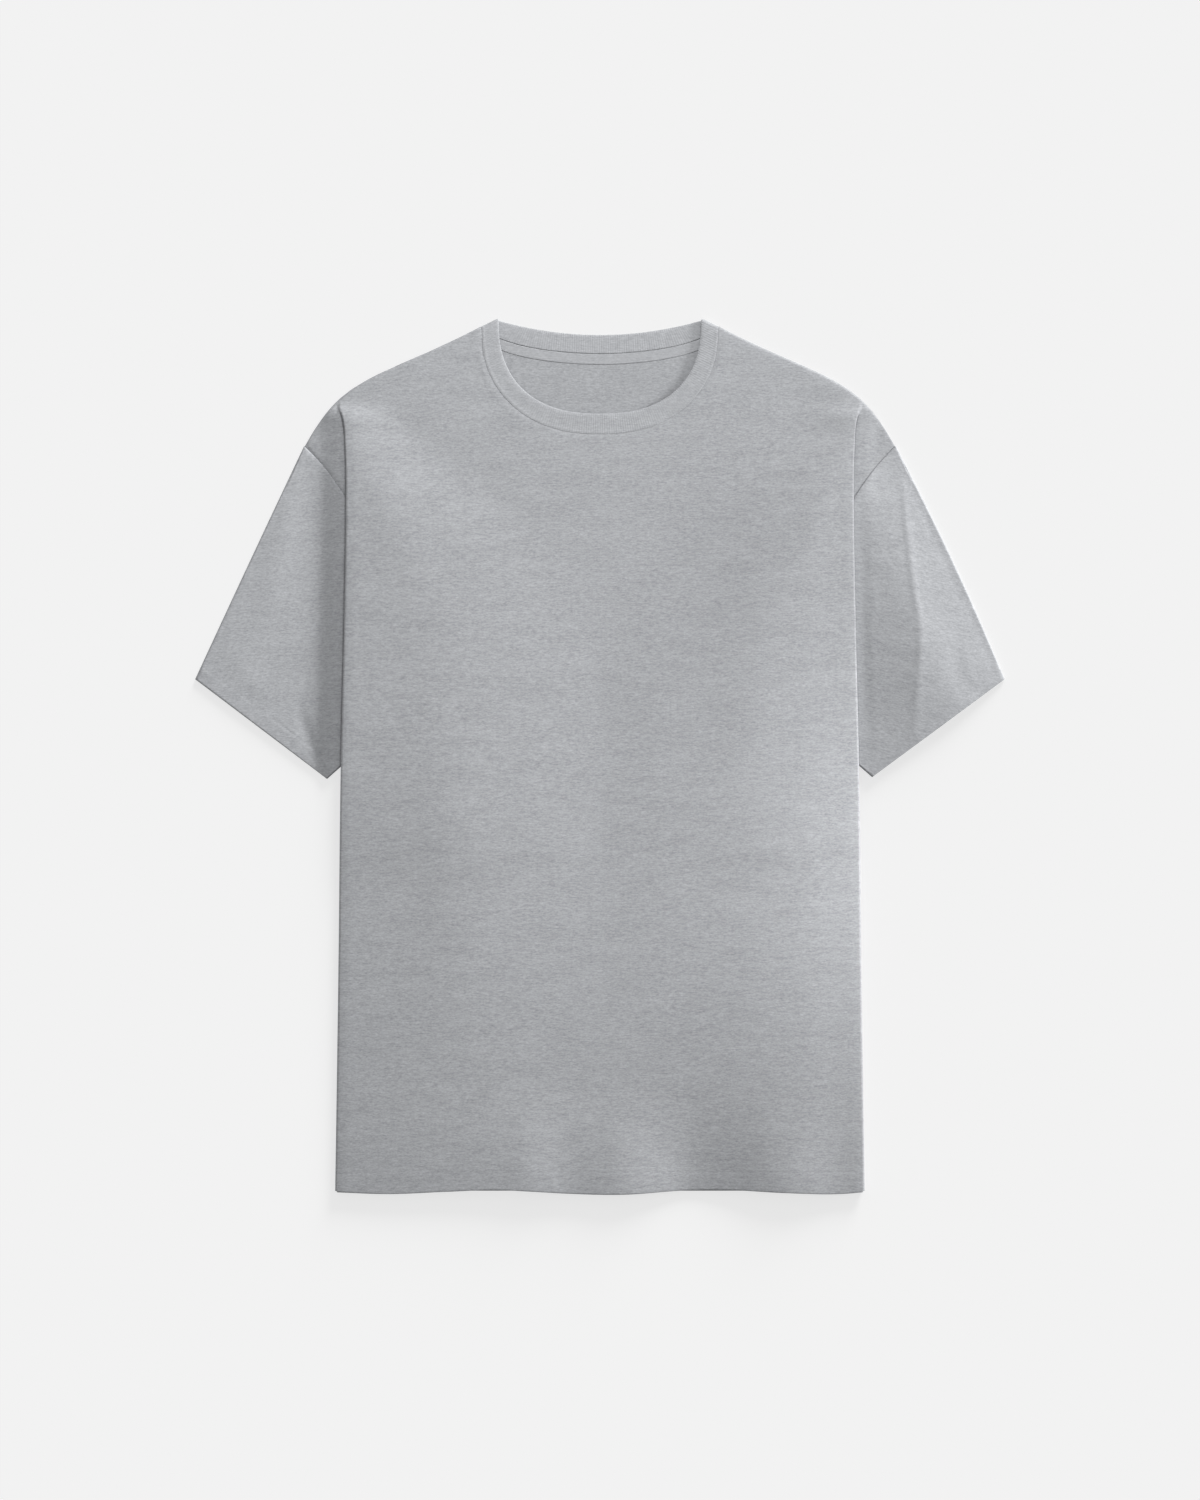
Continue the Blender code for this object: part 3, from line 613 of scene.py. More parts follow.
def panel_column(panel, side, zone, share):
    """Points of a column from the bottom to the top, and the row that it starts at."""
    top = top_of(panel, side, zone, share)
    rows = UNDERARM_Y + (top - UNDERARM_Y) * UPPER_ROWS
    if zone in ("main", "lip", "tuck"):
        low_x = float(place(panel, side, zone, share, np.array([HEM_Y]))[0][0])
        hem = HEM_Y + (hem_shift(low_x) if panel is FRONT and zone == "main" else GUSSET_RISE)
        rows = np.concatenate([hem + (UNDERARM_Y - hem) * LOWER_ROWS, rows])
        first = 0
    else:
        rows = np.concatenate([[UNDERARM_Y], rows])
        first = len(LOWER_ROWS) - 1
    x, z = place(panel, side, zone, share, rows)
    return list(zip(x, rows, z)) + panel_edge(panel, side, zone, share, top), first


def panel_columns(panel):
    half = zones(panel)
    left = [panel_column(panel, -1, zone, share) for zone, share in reversed(half[1:])]
    right = [panel_column(panel, 1, zone, share) for zone, share in half]
    return left + right


front_columns = panel_columns(FRONT)
back_columns = panel_columns(BACK)
print("front:", len(front_columns), "columns with", sum(len(c) for c, _ in front_columns), "points")

# %% [markdown]
# ## The sleeves
# A sleeve is a tube that has been pressed flat, so each of its sections is a closed ring: the upper
# ply, the folded underarm edge, the under ply and the folded top edge. Rings from the armhole to the
# hem make the tube. They stand closer together at the hem and across the place where the sleeve rises
# to go between front and back.

# %% Sleeve sections
SLEEVES = (             # name, side, outer hem corner, inner hem corner, bow of the top edge
    ("sleeve_left", -1, OUTER_CORNER, (231.5, -19.5), 0.3),
    ("sleeve_right", 1, OUTER_CORNER, (231.0, -18.0), 2.6),
)
BOW_WAY = np.array([0.9, 0.43])
ARMHOLE_SEAM = 0.45
SLEEVE_ROWS = np.concatenate([
    np.linspace(0.0, 0.03, 6, endpoint=False),
    np.linspace(0.03, 0.9, 46, endpoint=False),
    np.linspace(0.9, 1.0, 14),
])
OPEN_STEPS, RISE_STEPS, HIDDEN_STEPS, EDGE_STEPS = 34, 14, 14, 8
RISE_LIMIT, FOLD_LIMIT = 0.80, 0.92
EDGE_PROBE, PROBE_SHARE = 2.0, 0.01


def sleeve_plan(sleeve, along, across):
    """Plan point: along from armhole to hem, across from the top edge to the underarm edge."""
    _, side, outer, inner, bow = sleeve
    shoulder = np.array(SHOULDER_EDGE[-1])
    underarm = np.array([ARMHOLE[0][1], ARMHOLE[0][0]])
    top = shoulder + (np.array(outer) - shoulder) * along + bow * math.sin(math.pi * along) * BOW_WAY
    low = underarm + (np.array(inner) - underarm) * along
    spot = top + (low - top) * across
    seam_y = shoulder[1] + (underarm[1] - shoulder[1]) * across
    straight_x = shoulder[0] + (underarm[0] - shoulder[0]) * across
    hollow = float(armhole(seam_y)) - straight_x
    return np.array([spot[0] + (1 - along) * (hollow + ARMHOLE_SEAM), spot[1]])


def share_beside(sleeve, along, distance, limit):
    """How far across a sleeve its section comes within a distance of the body's side edge."""
    low, high = 0.0, limit
    for _ in range(TRIES):
        middle = (low + high) / 2
        spot = sleeve_plan(sleeve, along, middle)
        if spot[0] - float(side_fold(spot[1])) > distance:
            low = middle
        else:
            high = middle
    return low


def sleeve_surface(sleeve, along, spot, ply):
    """Height of a ply with its hem and the groove of the armhole seam."""
    side, outer, inner = sleeve[1], np.array(sleeve[2]), np.array(sleeve[3])
    height = float(ply(side * spot[0], spot[1]))
    if ply is under_ply:
        return height
    hem_way = (inner - outer) / np.linalg.norm(inner - outer)
    from_hem = (spot[0] - outer[0]) * hem_way[1] - (spot[1] - outer[1]) * hem_way[0]
    hem = float(hem_relief(abs(from_hem), SLEEVE_HEM_DEPTH))
    from_seam = (spot[0] - float(armhole(spot[1]))) * SEAM_LEAN
    seam = float(seam_relief(from_seam, SLEEVE_SEAM_SINK, SLEEVE_SEAM_WIDTH))
    return height + hem + seam * (along < SEAM_REACH)


def sleeve_ring(sleeve, along):
    """One section: upper ply, underarm edge, under ply, top edge."""
    side = sleeve[1]

    def edge(across, inward):
        tip = sleeve_plan(sleeve, along, across)
        way = sleeve_plan(sleeve, along, across + inward * PROBE_SHARE) - tip
        way /= np.linalg.norm(way)
        spot = tip + way * EDGE_PROBE
        radius = float(upper_ply(side * spot[0], spot[1]) - under_ply(side * spot[0], spot[1])) / 2
        return tip + way * (radius + PACKED_CLOTH / 2), -way, radius

    top_centre, top_out, top_radius = edge(0.0, 1)
    low_centre, low_out, low_radius = edge(1.0, -1)
    rise = share_beside(sleeve, along, SLEEVE_DROP, RISE_LIMIT)
    fold = share_beside(sleeve, along, SLEEVE_LEVEL, FOLD_LIMIT)
    shares = np.concatenate([
        np.linspace(0.0, rise, OPEN_STEPS, endpoint=False),
        np.linspace(rise, fold, RISE_STEPS, endpoint=False),
        np.linspace(fold, 1.0, HIDDEN_STEPS + 1),
    ])
    plan = [sleeve_plan(sleeve, along, s) for s in shares]
    plan[0], plan[-1] = top_centre, low_centre
    ring = [(p[0], p[1], sleeve_surface(sleeve, along, p, upper_ply)) for p in plan]
    ring += round_edge(side, low_centre, low_out, low_radius)
    ring += [(p[0], p[1], sleeve_surface(sleeve, along, p, under_ply)) for p in reversed(plan)]
    ring += round_edge(side, top_centre, top_out, top_radius)[::-1]
    return [(side * x, y, z) for x, y, z in ring]


def round_edge(side, centre, out, radius):
    """Points between the upper and the under ply, round a folded edge."""
    x, y = side * centre[0], centre[1]
    middle = (float(upper_ply(x, y)) + float(under_ply(x, y))) / 2
    points = []
    for i in range(1, EDGE_STEPS):
        angle = math.pi * (0.5 - i / EDGE_STEPS)
        spot = centre + out * radius * math.cos(angle)
        points.append((spot[0], spot[1], middle + radius * math.sin(angle)))
    return points


sleeve_rings = {sleeve[0]: [sleeve_ring(sleeve, along) for along in SLEEVE_ROWS] for sleeve in SLEEVES}
print("points in one sleeve section:", len(sleeve_rings["sleeve_left"][0]))

# %% [markdown]
# ## From points to cloth
# A sheet of cloth could be a flat grid with the Solidify modifier, but that leaves a square rim, and
# the rim of real cloth is round and catches the light. So the shell is made directly: every point is
# moved half the thickness to each side along its normal, and the open edges are joined by a small half
# round.

# %% A thin shell with a round rim
RIM_STEPS = 3
RIM_REACH = 0.2         # how far the round of the rim stands out past the edge


def grid_faces(columns, closed_along=False):
    """Points and four-sided faces from columns, each with the row that it starts at."""
    points, index = [], {}
    for c, (column, first) in enumerate(columns):
        for r, point in enumerate(column):
            index[c, first + r] = len(points)
            points.append(point)
    rows = max(r for _, r in index) + 1
    faces = []
    for c in range(len(columns) - 1):
        for r in range(rows if closed_along else rows - 1):
            up = (r + 1) % rows
            corners = [(c, r), (c + 1, r), (c + 1, up), (c, up)]
            if all(corner in index for corner in corners):
                faces.append([index[corner] for corner in corners])
    return np.array(points, float), np.array(faces)


def point_normals(points, faces):
    a, b, c, d = (points[faces[:, i]] for i in range(4))
    normals = np.zeros_like(points)
    for i in range(4):
        np.add.at(normals, faces[:, i], np.cross(c - a, d - b))
    return normals / np.maximum(np.linalg.norm(normals, axis=1), 1e-12)[:, None]


def open_edges(faces):
    """The directed edges that only one face has."""
    edges = np.concatenate([faces[:, [i, (i + 1) % 4]] for i in range(4)])
    key = np.sort(edges, axis=1)
    _, inverse, counts = np.unique(key, axis=0, return_inverse=True, return_counts=True)
    return edges[counts[inverse.reshape(-1)] == 1]


def shell(name, points, faces, thickness):
    """A closed mesh object round a middle surface."""
    normals = point_normals(points, faces)
    count = len(points)
    half = thickness / 2
    rim = open_edges(faces)
    outward = np.zeros_like(points)
    for a, b in rim:
        out = np.cross(points[b] - points[a], normals[a])
        outward[[a, b]] += out / max(np.linalg.norm(out), 1e-12)
    ring = np.unique(rim)
    outward[ring] /= np.maximum(np.linalg.norm(outward[ring], axis=1), 1e-12)[:, None]
    layers = [points + normals * half, points - normals * half]
    slot_of = {v: i for i, v in enumerate(ring)}
    for step in range(1, RIM_STEPS):
        angle = math.pi * (0.5 - step / RIM_STEPS)
        layers.append(points[ring] + normals[ring] * half * math.sin(angle)
                      + outward[ring] * RIM_REACH * math.cos(angle))
    every = [face.tolist() for face in faces] + [(face[::-1] + count).tolist() for face in faces]
    for a, b in rim:
        rungs = [(a, b)] + [(2 * count + k * len(ring) + slot_of[a], 2 * count + k * len(ring) + slot_of[b])
                            for k in range(RIM_STEPS - 1)] + [(a + count, b + count)]
        for (top_a, top_b), (low_a, low_b) in zip(rungs, rungs[1:]):
            every.append([int(top_b), int(top_a), int(low_a), int(low_b)])
    return mesh_object(name, np.concatenate(layers), every)


def mesh_object(name, points, faces):
    mesh = bpy.data.meshes.new(name)
    mesh.from_pydata((points * MM).tolist(), [], faces)
    mesh.validate()
    mesh.shade_smooth()
    made = bpy.data.objects.new(name, mesh)
    bpy.context.scene.collection.objects.link(made)
    print(name, "has", len(mesh.polygons), "faces")
    return made


print("the round of a rim stands out", RIM_REACH, "mm")

# %% Make the panels and the sleeves
JERSEY = 0.9
front = shell("front_panel", *grid_faces(front_columns), JERSEY)
back = shell("back_panel", *grid_faces(back_columns), JERSEY)
sleeve_pieces = {}
for sleeve_name, rings in sleeve_rings.items():
    ordered = rings[::-1] if sleeve_name == "sleeve_left" else rings
    tube = grid_faces([(ring, 0) for ring in ordered], True)
    sleeve_pieces[sleeve_name] = shell(sleeve_name + "_cloth", *tube, JERSEY)

# %% [markdown]
# ## Neck band and tape
# The band is rib folded double, so its inner edge is a round fold and it is thicker than the jersey.
# Where it is sewn on, the seam stands up as a low welt. Both strips are made by sweeping a section
# along the band's line: the section is drawn once, as a share of the width and a height, and its
# rounded ends come with it.

# %% Sweep a section along the neck
BAND_TOP_STEPS, BAND_TURN_STEPS = 22, 10
UP = np.array([0.0, 0.0, 1.0])
RIB = 1.1
FRONT_BAND_Z = 3.82
TAPE, TAPE_Z = 0.36, 1.26
TAPE_GAP, TAPE_WIDTH, TAPE_HALF_SPAN = 0.35, 8.8, 80.0
BAND_ROUND, TAPE_ROUND = (0.2, 0.03), (0.12, 0.05)       # shares of the width, free edge and seam
SEAM_TURNS = 60.0, 25.0, -25.0, -60.0
FREE_TURNS = -65.0, -40.0, -15.0, 15.0, 40.0, 65.0
WELT, WELT_AT, WELT_WIDTH = 0.15, 0.88, 0.07
FOLD_BULGE, FOLD_BULGE_AT, FOLD_BULGE_WIDTH = 0.04, 0.35, 0.12


def strip_section(half_height, welt, bulge, free_round, seam_round):
    """Closed section: share of the width, height above the middle. The upper side first."""
    shares = np.linspace(free_round, 1 - seam_round, BAND_TOP_STEPS)
    rise = welt * swell(shares - WELT_AT, WELT_WIDTH)
    rise = rise + bulge * swell(shares - FOLD_BULGE_AT, FOLD_BULGE_WIDTH)
    upper = [(s, half_height + r) for s, r in zip(shares, rise)]
    far = [(1 - seam_round + seam_round * math.cos(a), half_height * math.sin(a))
           for a in np.radians(SEAM_TURNS)]
    lower = [(s, -half_height) for s in shares[::-1]]
    near = [(free_round - free_round * math.cos(a), half_height * math.sin(a))
            for a in np.radians(FREE_TURNS)]
    return upper + far + lower + near


def band_stations():
    """Free edge, seam edge, height and upward way of the ring, once round from the right shoulder."""
    radius = (FRONT_BAND_Z - BACK_BAND_Z) / 2
    turns = np.linspace(0.0, math.pi, BAND_STEPS + 1)
    over = [(*front_band(turn), FRONT_BAND_Z, UP) for turn in turns]
    under = [(*back_band(turn), BACK_BAND_Z, -UP) for turn in turns[::-1]]
    return over + band_turn(-1, 1, radius) + under + band_turn(1, -1, radius)


def band_turn(side, way, radius):
    """The half turn over a shoulder. way 1 goes from front to back."""
    free, seam = front_band(np.array(0.0 if side > 0 else math.pi))
    outward = np.array([side * math.sin(SHOULDER_SLOPE), math.cos(SHOULDER_SLOPE)])
    stations = []
    for i in range(1, BAND_TURN_STEPS):
        angle = way * math.pi * (0.5 - i / BAND_TURN_STEPS)
        move = outward * radius * math.cos(angle)
        up = np.array([*(outward * math.cos(angle)), math.sin(angle)])
        stations.append((free + move, seam + move, BACK_BAND_Z + radius * (1 + math.sin(angle)), up))
    return stations


def sweep(name, stations, flat, raised, closed):
    """A tube along the stations, with its run and its share of the width as a UV map.

    The section is the raised one where its upper side faces up and the flat one where that faces down.
    """
    points, runs = [], [0.0]
    for i, (free, seam, z, up) in enumerate(stations):
        facing = max(0.0, up[2])
        for (share, low), (_, high) in zip(flat, raised):
            spot = free + (seam - free) * share
            points.append(np.array([spot[0], spot[1], z]) + up * (low + (high - low) * facing))
        if i:
            before = stations[i - 1]
            middle_gap = (free + seam - before[0] - before[1]) / 2
            runs.append(runs[-1] + math.hypot(*middle_gap, z - before[2]))
    shares, ring, count = [share for share, _ in flat], len(flat), len(stations)
    faces, uvs = [], []
    for i in range(count if closed else count - 1):
        ahead = (i + 1) % count
        next_run = runs[ahead] if ahead else runs[-1] + math.hypot(*(stations[0][0] - stations[-1][0]))
        for k in range(ring):
            turn_k = (k + 1) % ring
            faces.append([i * ring + k, ahead * ring + k, ahead * ring + turn_k, i * ring + turn_k])
            uvs += [(runs[i], shares[k]), (next_run, shares[k]),
                    (next_run, shares[turn_k]), (runs[i], shares[turn_k])]
    if not closed:
        faces.append(list(range(ring)))
        faces.append([(count - 1) * ring + k for k in range(ring)][::-1])
        uvs += [(runs[0], share) for share in shares]
        uvs += [(runs[-1], share) for share in shares[::-1]]
    made = mesh_object(name, np.array(points), faces)
    layer = made.data.uv_layers.new(name="run")
    layer.data.foreach_set("uv", np.array([(u * MM, v) for u, v in uvs], np.float32).ravel())
    return made


band_flat = strip_section(RIB / 2, 0.0, 0.0, *BAND_ROUND)
band_raised = strip_section(RIB / 2, WELT, FOLD_BULGE, *BAND_ROUND)
band = sweep("neck_rib", band_stations(), band_flat, band_raised, True)
tape_widest = math.acos(TAPE_HALF_SPAN / NECK_HALF_WIDTH)
tape_line = []
for tape_angle in np.linspace(math.pi - tape_widest, tape_widest, BAND_STEPS + 1):
    upper_edge = back_band(tape_angle, TAPE_GAP)[1]
    lower_edge = back_band(tape_angle, TAPE_GAP + TAPE_WIDTH)[1]
    tape_line.append((lower_edge, upper_edge, TAPE_Z, UP))
tape_section = strip_section(TAPE / 2, 0.0, 0.0, *TAPE_ROUND)
tape = sweep("back_neck_tape", tape_line, tape_section, tape_section, False)

# %% [markdown]
# ## Heather yarn as a node group
# Heather cloth is knitted from a yarn spun from light and dark fibres. Each course of stitches shows as
# a fine line of light and dark slubs, long across the cloth and thin along it, with a broader and
# fainter cloud under it. Every piece uses it, so it is one shader node group: it gives the colour, and
# a height for the bump.

# %% Tools for node groups
def new_group(name, inputs, outputs):
    group = bpy.data.node_groups.new(name, "ShaderNodeTree")
    for label, kind, value in inputs:
        socket = group.interface.new_socket(label, in_out="INPUT", socket_type=kind)
        if value is not None:
            socket.default_value = value
    for label, kind in outputs:
        group.interface.new_socket(label, in_out="OUTPUT", socket_type=kind)
    return group, group.nodes.new("NodeGroupInput"), group.nodes.new("NodeGroupOutput")


def math_node(tree, operation, first, second):
    """A Math node. Each side is a number or a socket."""
    node = tree.nodes.new("ShaderNodeMath")
    node.operation = operation
    for socket, value in zip(node.inputs, (first, second)):
        if isinstance(value, (int, float)):
            socket.default_value = value
        else:
            tree.links.new(value, socket)
    return node.outputs[0]


def noise(tree, vector, scale, detail, roughness=0.5):
    node = tree.nodes.new("ShaderNodeTexNoise")
    node.inputs["Scale"].default_value = scale
    node.inputs["Detail"].default_value = detail
    node.inputs["Roughness"].default_value = roughness
    tree.links.new(vector, node.inputs["Vector"])
    return node.outputs["Fac"]


def stretched(tree, vector, x, y, z):
    """The same place measured in lengths of x, y and z metres."""
    node = tree.nodes.new("ShaderNodeMapping")
    node.inputs["Scale"].default_value = (1 / x, 1 / y, 1 / z)
    tree.links.new(vector, node.inputs["Vector"])
    return node.outputs[0]


def blend_colour(tree, factor, first, second):
    node = tree.nodes.new("ShaderNodeMix")
    node.data_type = "RGBA"
    tree.links.new(factor, node.inputs["Factor"])
    tree.links.new(first, node.inputs["A"])
    tree.links.new(second, node.inputs["B"])
    return node.outputs["Result"]


# %% The heather group
def make_heather():
    group, got, out = new_group(
        "Heather yarn",
        [("Vector", "NodeSocketVector", None), ("Yarn", "NodeSocketColor", (0.4, 0.41, 0.43, 1.0)),
         ("Dark Fibre", "NodeSocketColor", (0.2, 0.2, 0.22, 1.0)),
         ("Light Fibre", "NodeSocketColor", (0.6, 0.61, 0.63, 1.0)), ("Speckle", "NodeSocketFloat", 0.5)],
        [("Color", "NodeSocketColor"), ("Height", "NodeSocketFloat")])
    vector = got.outputs["Vector"]
    slub = noise(group, stretched(group, vector, 0.0056, 0.0013, 0.02), 1.0, 3.0, 0.65)
    fine = noise(group, stretched(group, vector, 0.0021, 0.0010, 0.004), 1.0, 2.0, 0.6)
    cloud = noise(group, stretched(group, vector, 0.045, 0.012, 0.05), 1.0, 2.0)
    mixed = math_node(group, "MULTIPLY", slub, 0.44)
    mixed = math_node(group, "ADD", mixed, math_node(group, "MULTIPLY", fine, 0.40))
    mixed = math_node(group, "ADD", mixed, math_node(group, "MULTIPLY", cloud, 0.12))
    spread = math_node(group, "MULTIPLY", math_node(group, "SUBTRACT", mixed, 0.5), got.outputs["Speckle"])
    dark = math_node(group, "MAXIMUM", math_node(group, "MULTIPLY", spread, -1.0), 0.0)
    light = math_node(group, "MAXIMUM", spread, 0.0)
    colour = blend_colour(group, dark, got.outputs["Yarn"], got.outputs["Dark Fibre"])
    colour = blend_colour(group, light, colour, got.outputs["Light Fibre"])
    group.links.new(colour, out.inputs["Color"])
    group.links.new(mixed, out.inputs["Height"])
    return group


heather = make_heather()
print("group:", heather.name, "with", len(heather.nodes), "nodes")

# %% [markdown]
# ## Knit as a node group
# Close to, jersey is rows of small V stitches and rib is rows of fine vertical ridges. At arm's length
# they melt into a soft grain, which still catches light at a low angle. The group makes both from two
# waves across each other, as a height for the Bump node.

# %% The knit group
def make_knit():
    group, got, out = new_group(
        "Knit stitches",
        [("Vector", "NodeSocketVector", None), ("Wales", "NodeSocketFloat", 900.0),
         ("Courses", "NodeSocketFloat", 1100.0)],
        [("Height", "NodeSocketFloat")])
    split = group.nodes.new("ShaderNodeSeparateXYZ")
    group.links.new(got.outputs["Vector"], split.inputs[0])
    turn = 2 * math.pi
    wale = math_node(group, "MULTIPLY", split.outputs["X"], got.outputs["Wales"])
    wale = math_node(group, "MULTIPLY", wale, turn)
    course = math_node(group, "MULTIPLY", split.outputs["Y"], got.outputs["Courses"])
    course = math_node(group, "MULTIPLY", course, turn)
    lean = math_node(group, "MULTIPLY", math_node(group, "SINE", wale, 0.0), 1.3)
    rows = math_node(group, "SINE", math_node(group, "ADD", course, lean), 0.0)
    columns = math_node(group, "SINE", wale, 0.0)
    half = math_node(group, "MULTIPLY", rows, 0.5)
    total = math_node(group, "ADD", half, math_node(group, "MULTIPLY", columns, 0.5))
    group.links.new(total, out.inputs["Height"])
    return group


knit = make_knit()
print("group:", knit.name, "with", len(knit.nodes), "nodes")

# %% [markdown]
# ## The finishes
# All the cloth is matt, with a little sheen from the fuzz of the cotton. Jersey, rib and tape differ in
# colour, in how strongly they are speckled and in which way the knit runs. The sleeves are cut across,
# so their grain is turned a little. A mapping node before the groups turns the cloth, and the rest is
# set on the shader.

# %% Put a cloth material together
ROUGHNESS, SPECULAR = 0.92, 0.25
SHEEN, SHEEN_ROUGHNESS = 0.12, 0.5
KNIT_SHARE, BUMP_STRENGTH = 0.4, 0.6


def group_node(tree, group, values, vector):
    node = tree.nodes.new("ShaderNodeGroup")
    node.node_tree = group
    for label, value in values.items():
        node.inputs[label].default_value = value
    tree.links.new(vector, node.inputs["Vector"])
    return node


def cloth_material(name, yarn, speckle, grain_turn=0.0, wales=1000.0, courses=1250.0, relief=0.00012,
                   rib=False):
    made = bpy.data.materials.new(name)
    made.use_nodes = True
    tree = made.node_tree
    shader = tree.nodes["Principled BSDF"]
    shader.inputs["Roughness"].default_value = ROUGHNESS
    shader.inputs["Specular IOR Level"].default_value = SPECULAR
    shader.inputs["Sheen Weight"].default_value = SHEEN
    shader.inputs["Sheen Roughness"].default_value = SHEEN_ROUGHNESS
    place_node = tree.nodes.new("ShaderNodeTexCoord")
    turn = tree.nodes.new("ShaderNodeMapping")
    turn.inputs["Rotation"].default_value = (0.0, 0.0, grain_turn)
    tree.links.new(place_node.outputs["Object"], turn.inputs["Vector"])
    grain = turn.outputs[0]
    dark = (yarn[0] * 0.36, yarn[1] * 0.36, yarn[2] * 0.38, 1.0)
    light = (min(yarn[0] * 1.7, 0.9), min(yarn[1] * 1.7, 0.9), min(yarn[2] * 1.7, 0.9), 1.0)
    heathered = group_node(tree, heather, {"Yarn": (*yarn, 1.0), "Dark Fibre": dark, "Light Fibre": light,
                                           "Speckle": speckle}, grain)
    tree.links.new(heathered.outputs["Color"], shader.inputs["Base Color"])
    knit_vector = grain
    if rib:
        run = tree.nodes.new("ShaderNodeUVMap")
        run.uv_map = "run"
        knit_vector = run.outputs[0]
    stitches = group_node(tree, knit, {"Wales": wales, "Courses": courses}, knit_vector)
    height = math_node(tree, "ADD", math_node(tree, "MULTIPLY", stitches.outputs["Height"], KNIT_SHARE),
                       math_node(tree, "MULTIPLY", heathered.outputs["Height"], 1.0))
    bump = tree.nodes.new("ShaderNodeBump")
    bump.inputs["Strength"].default_value = BUMP_STRENGTH
    bump.inputs["Distance"].default_value = relief
    tree.links.new(height, bump.inputs["Height"])
    tree.links.new(bump.outputs["Normal"], shader.inputs["Normal"])
    return made


YARN = (0.370, 0.378, 0.393)
jersey_finish = cloth_material("heather jersey", YARN, 2.5)
left_finish = cloth_material("heather jersey, left sleeve", YARN, 2.4, grain_turn=math.radians(-3.0))
right_finish = cloth_material("heather jersey, right sleeve", YARN, 2.4, grain_turn=math.radians(12.0))
rib_finish = cloth_material("heather rib", (0.377, 0.385, 0.400), 1.9, wales=520.0, courses=0.0,
                            relief=0.00016, rib=True)
tape_finish = cloth_material("neck tape", (0.395, 0.403, 0.418), 1.7, wales=1200.0, courses=1500.0)
finishes = (jersey_finish, left_finish, right_finish, rib_finish, tape_finish)
print("finishes:", [finish.name for finish in finishes])

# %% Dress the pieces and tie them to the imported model
WHOLE = ((front, "front", "jersey", jersey_finish), (back, "back", "jersey", jersey_finish),
         (sleeve_pieces["sleeve_left"], "sleeve_left", "jersey", left_finish),
         (sleeve_pieces["sleeve_right"], "sleeve_right", "jersey", right_finish),
         (band, "neck_band", "rib", rib_finish), (tape, "neck_tape", "tape", tape_finish))
for piece, node, slot_name, finish in WHOLE:
    piece.data.materials.append(finish)
    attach(piece, "root")
    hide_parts(node)
    print(piece.name, "stands for", node)

# %% [markdown]
# ## What the cloth was cut to
# A sheet of cloth keeps its area however it is folded. The panels are as wide as the whole cut, tucks
# included.

print("six pieces of cloth")

# %% [markdown]
# ## Floor, light and camera
# The shirt lies on a plain pale floor. A studio would light it with one large soft lamp, low and from
# the upper right, so that it grazes the cloth and every crease shows, and a white room that fills the
# shade. The floor glows a little of itself, like a lit table, so that it stays even and the shadow on
# it stays faint.

# %% The floor
FLOOR_GLOW, FLOOR_PAINT = 0.636, 0.45
FLOOR_HALF = 9.0


def make_floor():
    steps = np.linspace(-FLOOR_HALF, FLOOR_HALF, 5)
    points = [(x, y, 0.0) for y in steps for x in steps]
    faces = [(r * 5 + c, r * 5 + c + 1, r * 5 + c + 6, r * 5 + c + 5) for r in range(4) for c in range(4)]
    mesh = bpy.data.meshes.new("floor")
    mesh.from_pydata(points, [], faces)
    made = bpy.data.objects.new("floor", mesh)
    bpy.context.scene.collection.objects.link(made)
    paint = bpy.data.materials.new("pale floor")
    paint.use_nodes = True
    shader = paint.node_tree.nodes["Principled BSDF"]
    shader.inputs["Base Color"].default_value = (FLOOR_PAINT, FLOOR_PAINT, FLOOR_PAINT, 1.0)
    shader.inputs["Roughness"].default_value = 1.0
    shader.inputs["Specular IOR Level"].default_value = 0.0
    shader.inputs["Emission Color"].default_value = (1.0, 1.0, 1.0, 1.0)
    shader.inputs["Emission Strength"].default_value = FLOOR_GLOW
    mesh.materials.append(paint)
    return made


floor = make_floor()
print("floor", 2 * FLOOR_HALF, "m wide")

# %% The lamps
ROOM_LIGHT = 0.36
KEY_AZIMUTH, KEY_ELEVATION, KEY_WIDTH, KEY_SHARE = 68.0, 15.0, 24.0, 0.2
SIDE_AZIMUTH, SIDE_ELEVATION, SIDE_WIDTH, SIDE_SHARE, SLEEVE_SHARE = 20.0, 14.0, 12.0, 0.27, 0.43
TOP_TURN, TOP_RISE = math.radians(86.0), math.radians(34.0)
TOP_AWAY, TOP_SIZE, TOP_SHARE = 1.3, 0.4, 0.31
EDGE_PLACE, EDGE_TARGET = (0.37, -0.08, 0.12), (0.20, -0.08, 0.0)
EDGE_SIZE, EDGE_POWER = (0.08, 1.0), 1.04


def lamp(kind, name, pieces):
    """A lamp that the camera does not see and that lights only these pieces."""
    data = bpy.data.lights.new(name, kind)
    made = bpy.data.objects.new(name, data)
    made.visible_camera = False
    bpy.context.scene.collection.objects.link(made)
    chosen = bpy.data.collections.new("lit by the " + name)
    for piece in pieces:
        chosen.objects.link(piece)
    made.light_linking.receiver_collection = chosen
    return made


def distant_lamp(name, pieces, azimuth, elevation, width, share):
    """A far lamp that adds this share to a white level floor."""
    made = lamp("SUN", name, pieces)
    azimuth, elevation = math.radians(azimuth), math.radians(elevation)
    made.data.angle = math.radians(width)
    made.data.energy = share * math.pi / math.sin(elevation)
    made.rotation_euler = (math.pi / 2 - elevation, 0.0, azimuth + math.pi / 2)


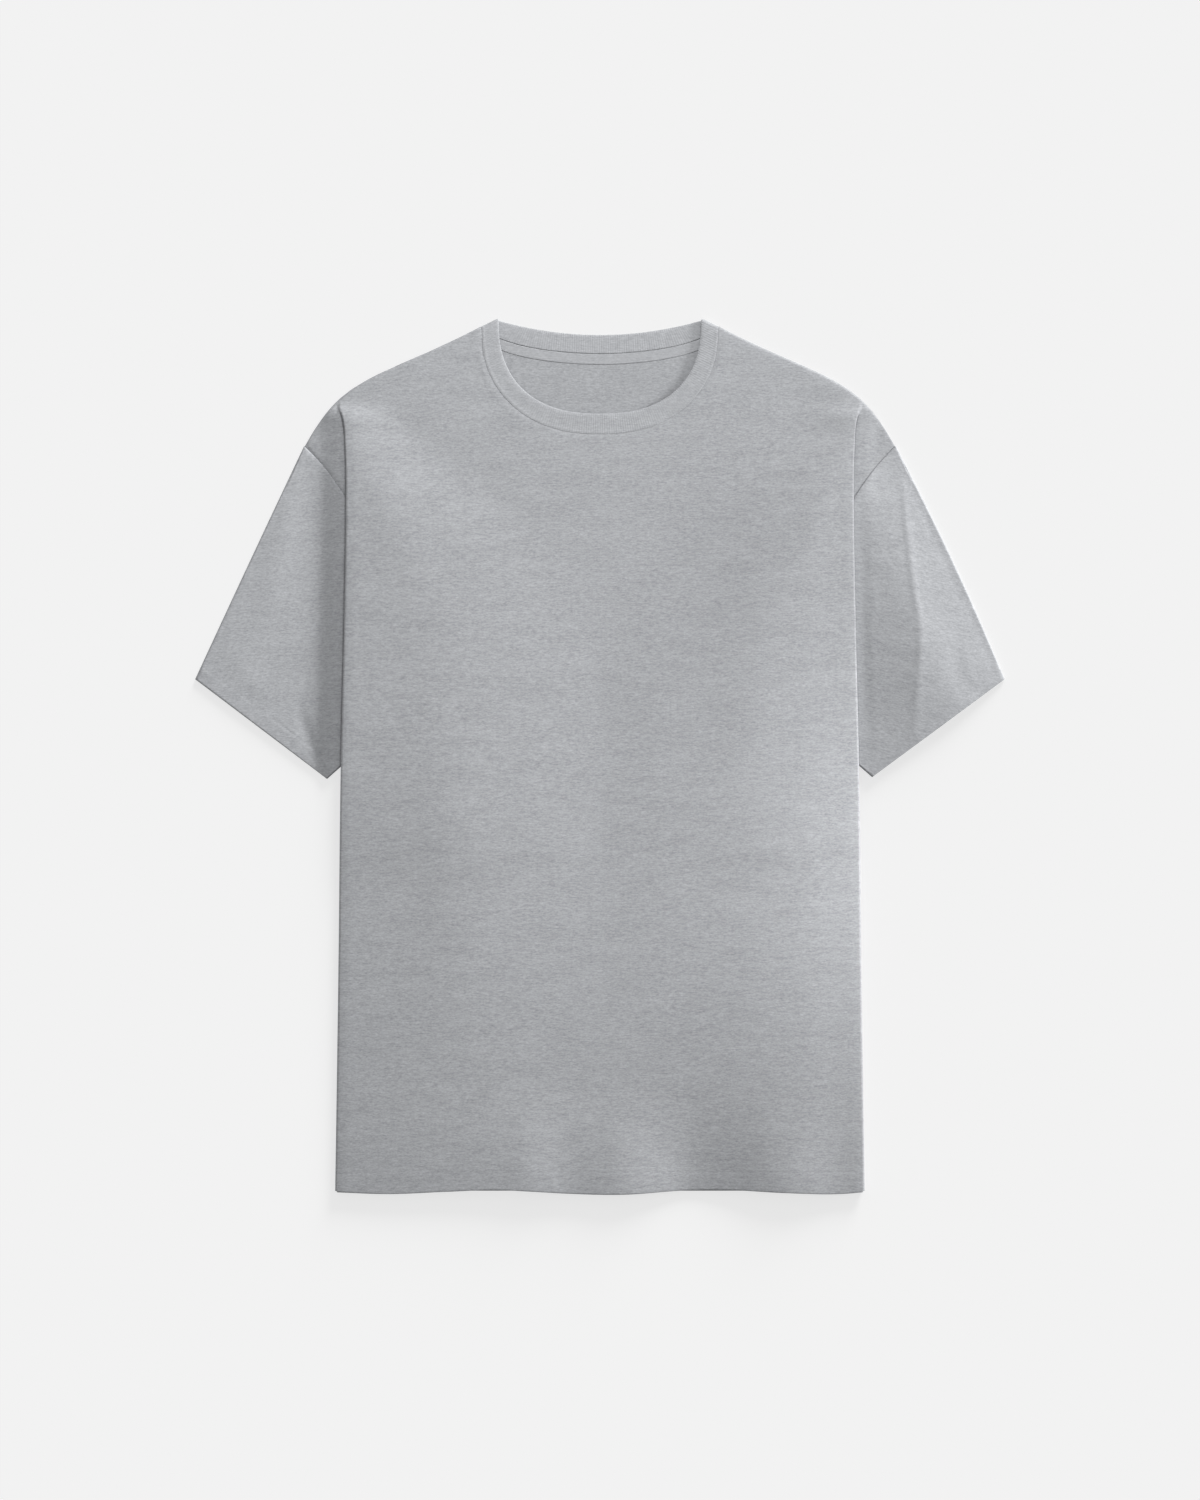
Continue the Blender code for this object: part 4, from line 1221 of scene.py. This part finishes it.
def near_lamp(name, pieces, where, target, size, power):
    """A lamp of this size, in metres, that faces a target."""
    made = lamp("AREA", name, pieces)
    made.data.shape = "RECTANGLE"
    made.data.size, made.data.size_y = size
    made.data.energy = power
    made.location = where
    x, y, z = (b - a for a, b in zip(where, target))
    tilt = math.acos(-z / math.sqrt(x * x + y * y + z * z))
    made.rotation_euler = (tilt, 0.0, math.atan2(y, x) - math.pi / 2)


cloth_pieces = [row[0] for row in WHOLE]
distant_lamp("key light", [floor], KEY_AZIMUTH, KEY_ELEVATION, KEY_WIDTH, KEY_SHARE)
distant_lamp("side light", [front, back, band, tape], SIDE_AZIMUTH, SIDE_ELEVATION, SIDE_WIDTH, SIDE_SHARE)
sleeves = list(sleeve_pieces.values())
distant_lamp("sleeve light", sleeves, SIDE_AZIMUTH, SIDE_ELEVATION, SIDE_WIDTH, SLEEVE_SHARE)
top_place = (TOP_AWAY * math.cos(TOP_TURN), TOP_AWAY * math.sin(TOP_TURN), TOP_AWAY * math.tan(TOP_RISE))
top_power = TOP_SHARE * (math.pi * TOP_AWAY / math.cos(TOP_RISE)) ** 2 / math.sin(TOP_RISE)
near_lamp("top light", cloth_pieces, top_place, (0.0, 0.0, 0.0), (TOP_SIZE, TOP_SIZE), top_power)
near_lamp("edge light", [front, band], EDGE_PLACE, EDGE_TARGET, EDGE_SIZE, EDGE_POWER)
print("lamps:", [light.name for light in bpy.data.lights])

# %% The room
world = bpy.data.worlds.new("white room")
world.use_nodes = True
world.node_tree.nodes["Background"].inputs["Color"].default_value = (1.0, 1.0, 1.0, 1.0)
world.node_tree.nodes["Background"].inputs["Strength"].default_value = ROOM_LIGHT
bpy.context.scene.world = world
bpy.context.scene.view_settings.view_transform = "Standard"
print("room light:", ROOM_LIGHT)

# %% The camera
VIEW_HEIGHT = 1.275
CAMERA_HEIGHT = 7.0
VIEW_CENTRE = (0.0001, 0.0051)
SENSOR = 36.0
camera_data = bpy.data.cameras.new("camera")
camera_data.sensor_fit = "VERTICAL"
camera_data.sensor_height = SENSOR
camera_data.lens = SENSOR * CAMERA_HEIGHT / VIEW_HEIGHT
camera_data.clip_end = 50.0
camera = bpy.data.objects.new("camera", camera_data)
camera.location = (*VIEW_CENTRE, CAMERA_HEIGHT)
bpy.context.scene.collection.objects.link(camera)
bpy.context.scene.camera = camera
print("lens:", round(camera_data.lens, 1), "mm")
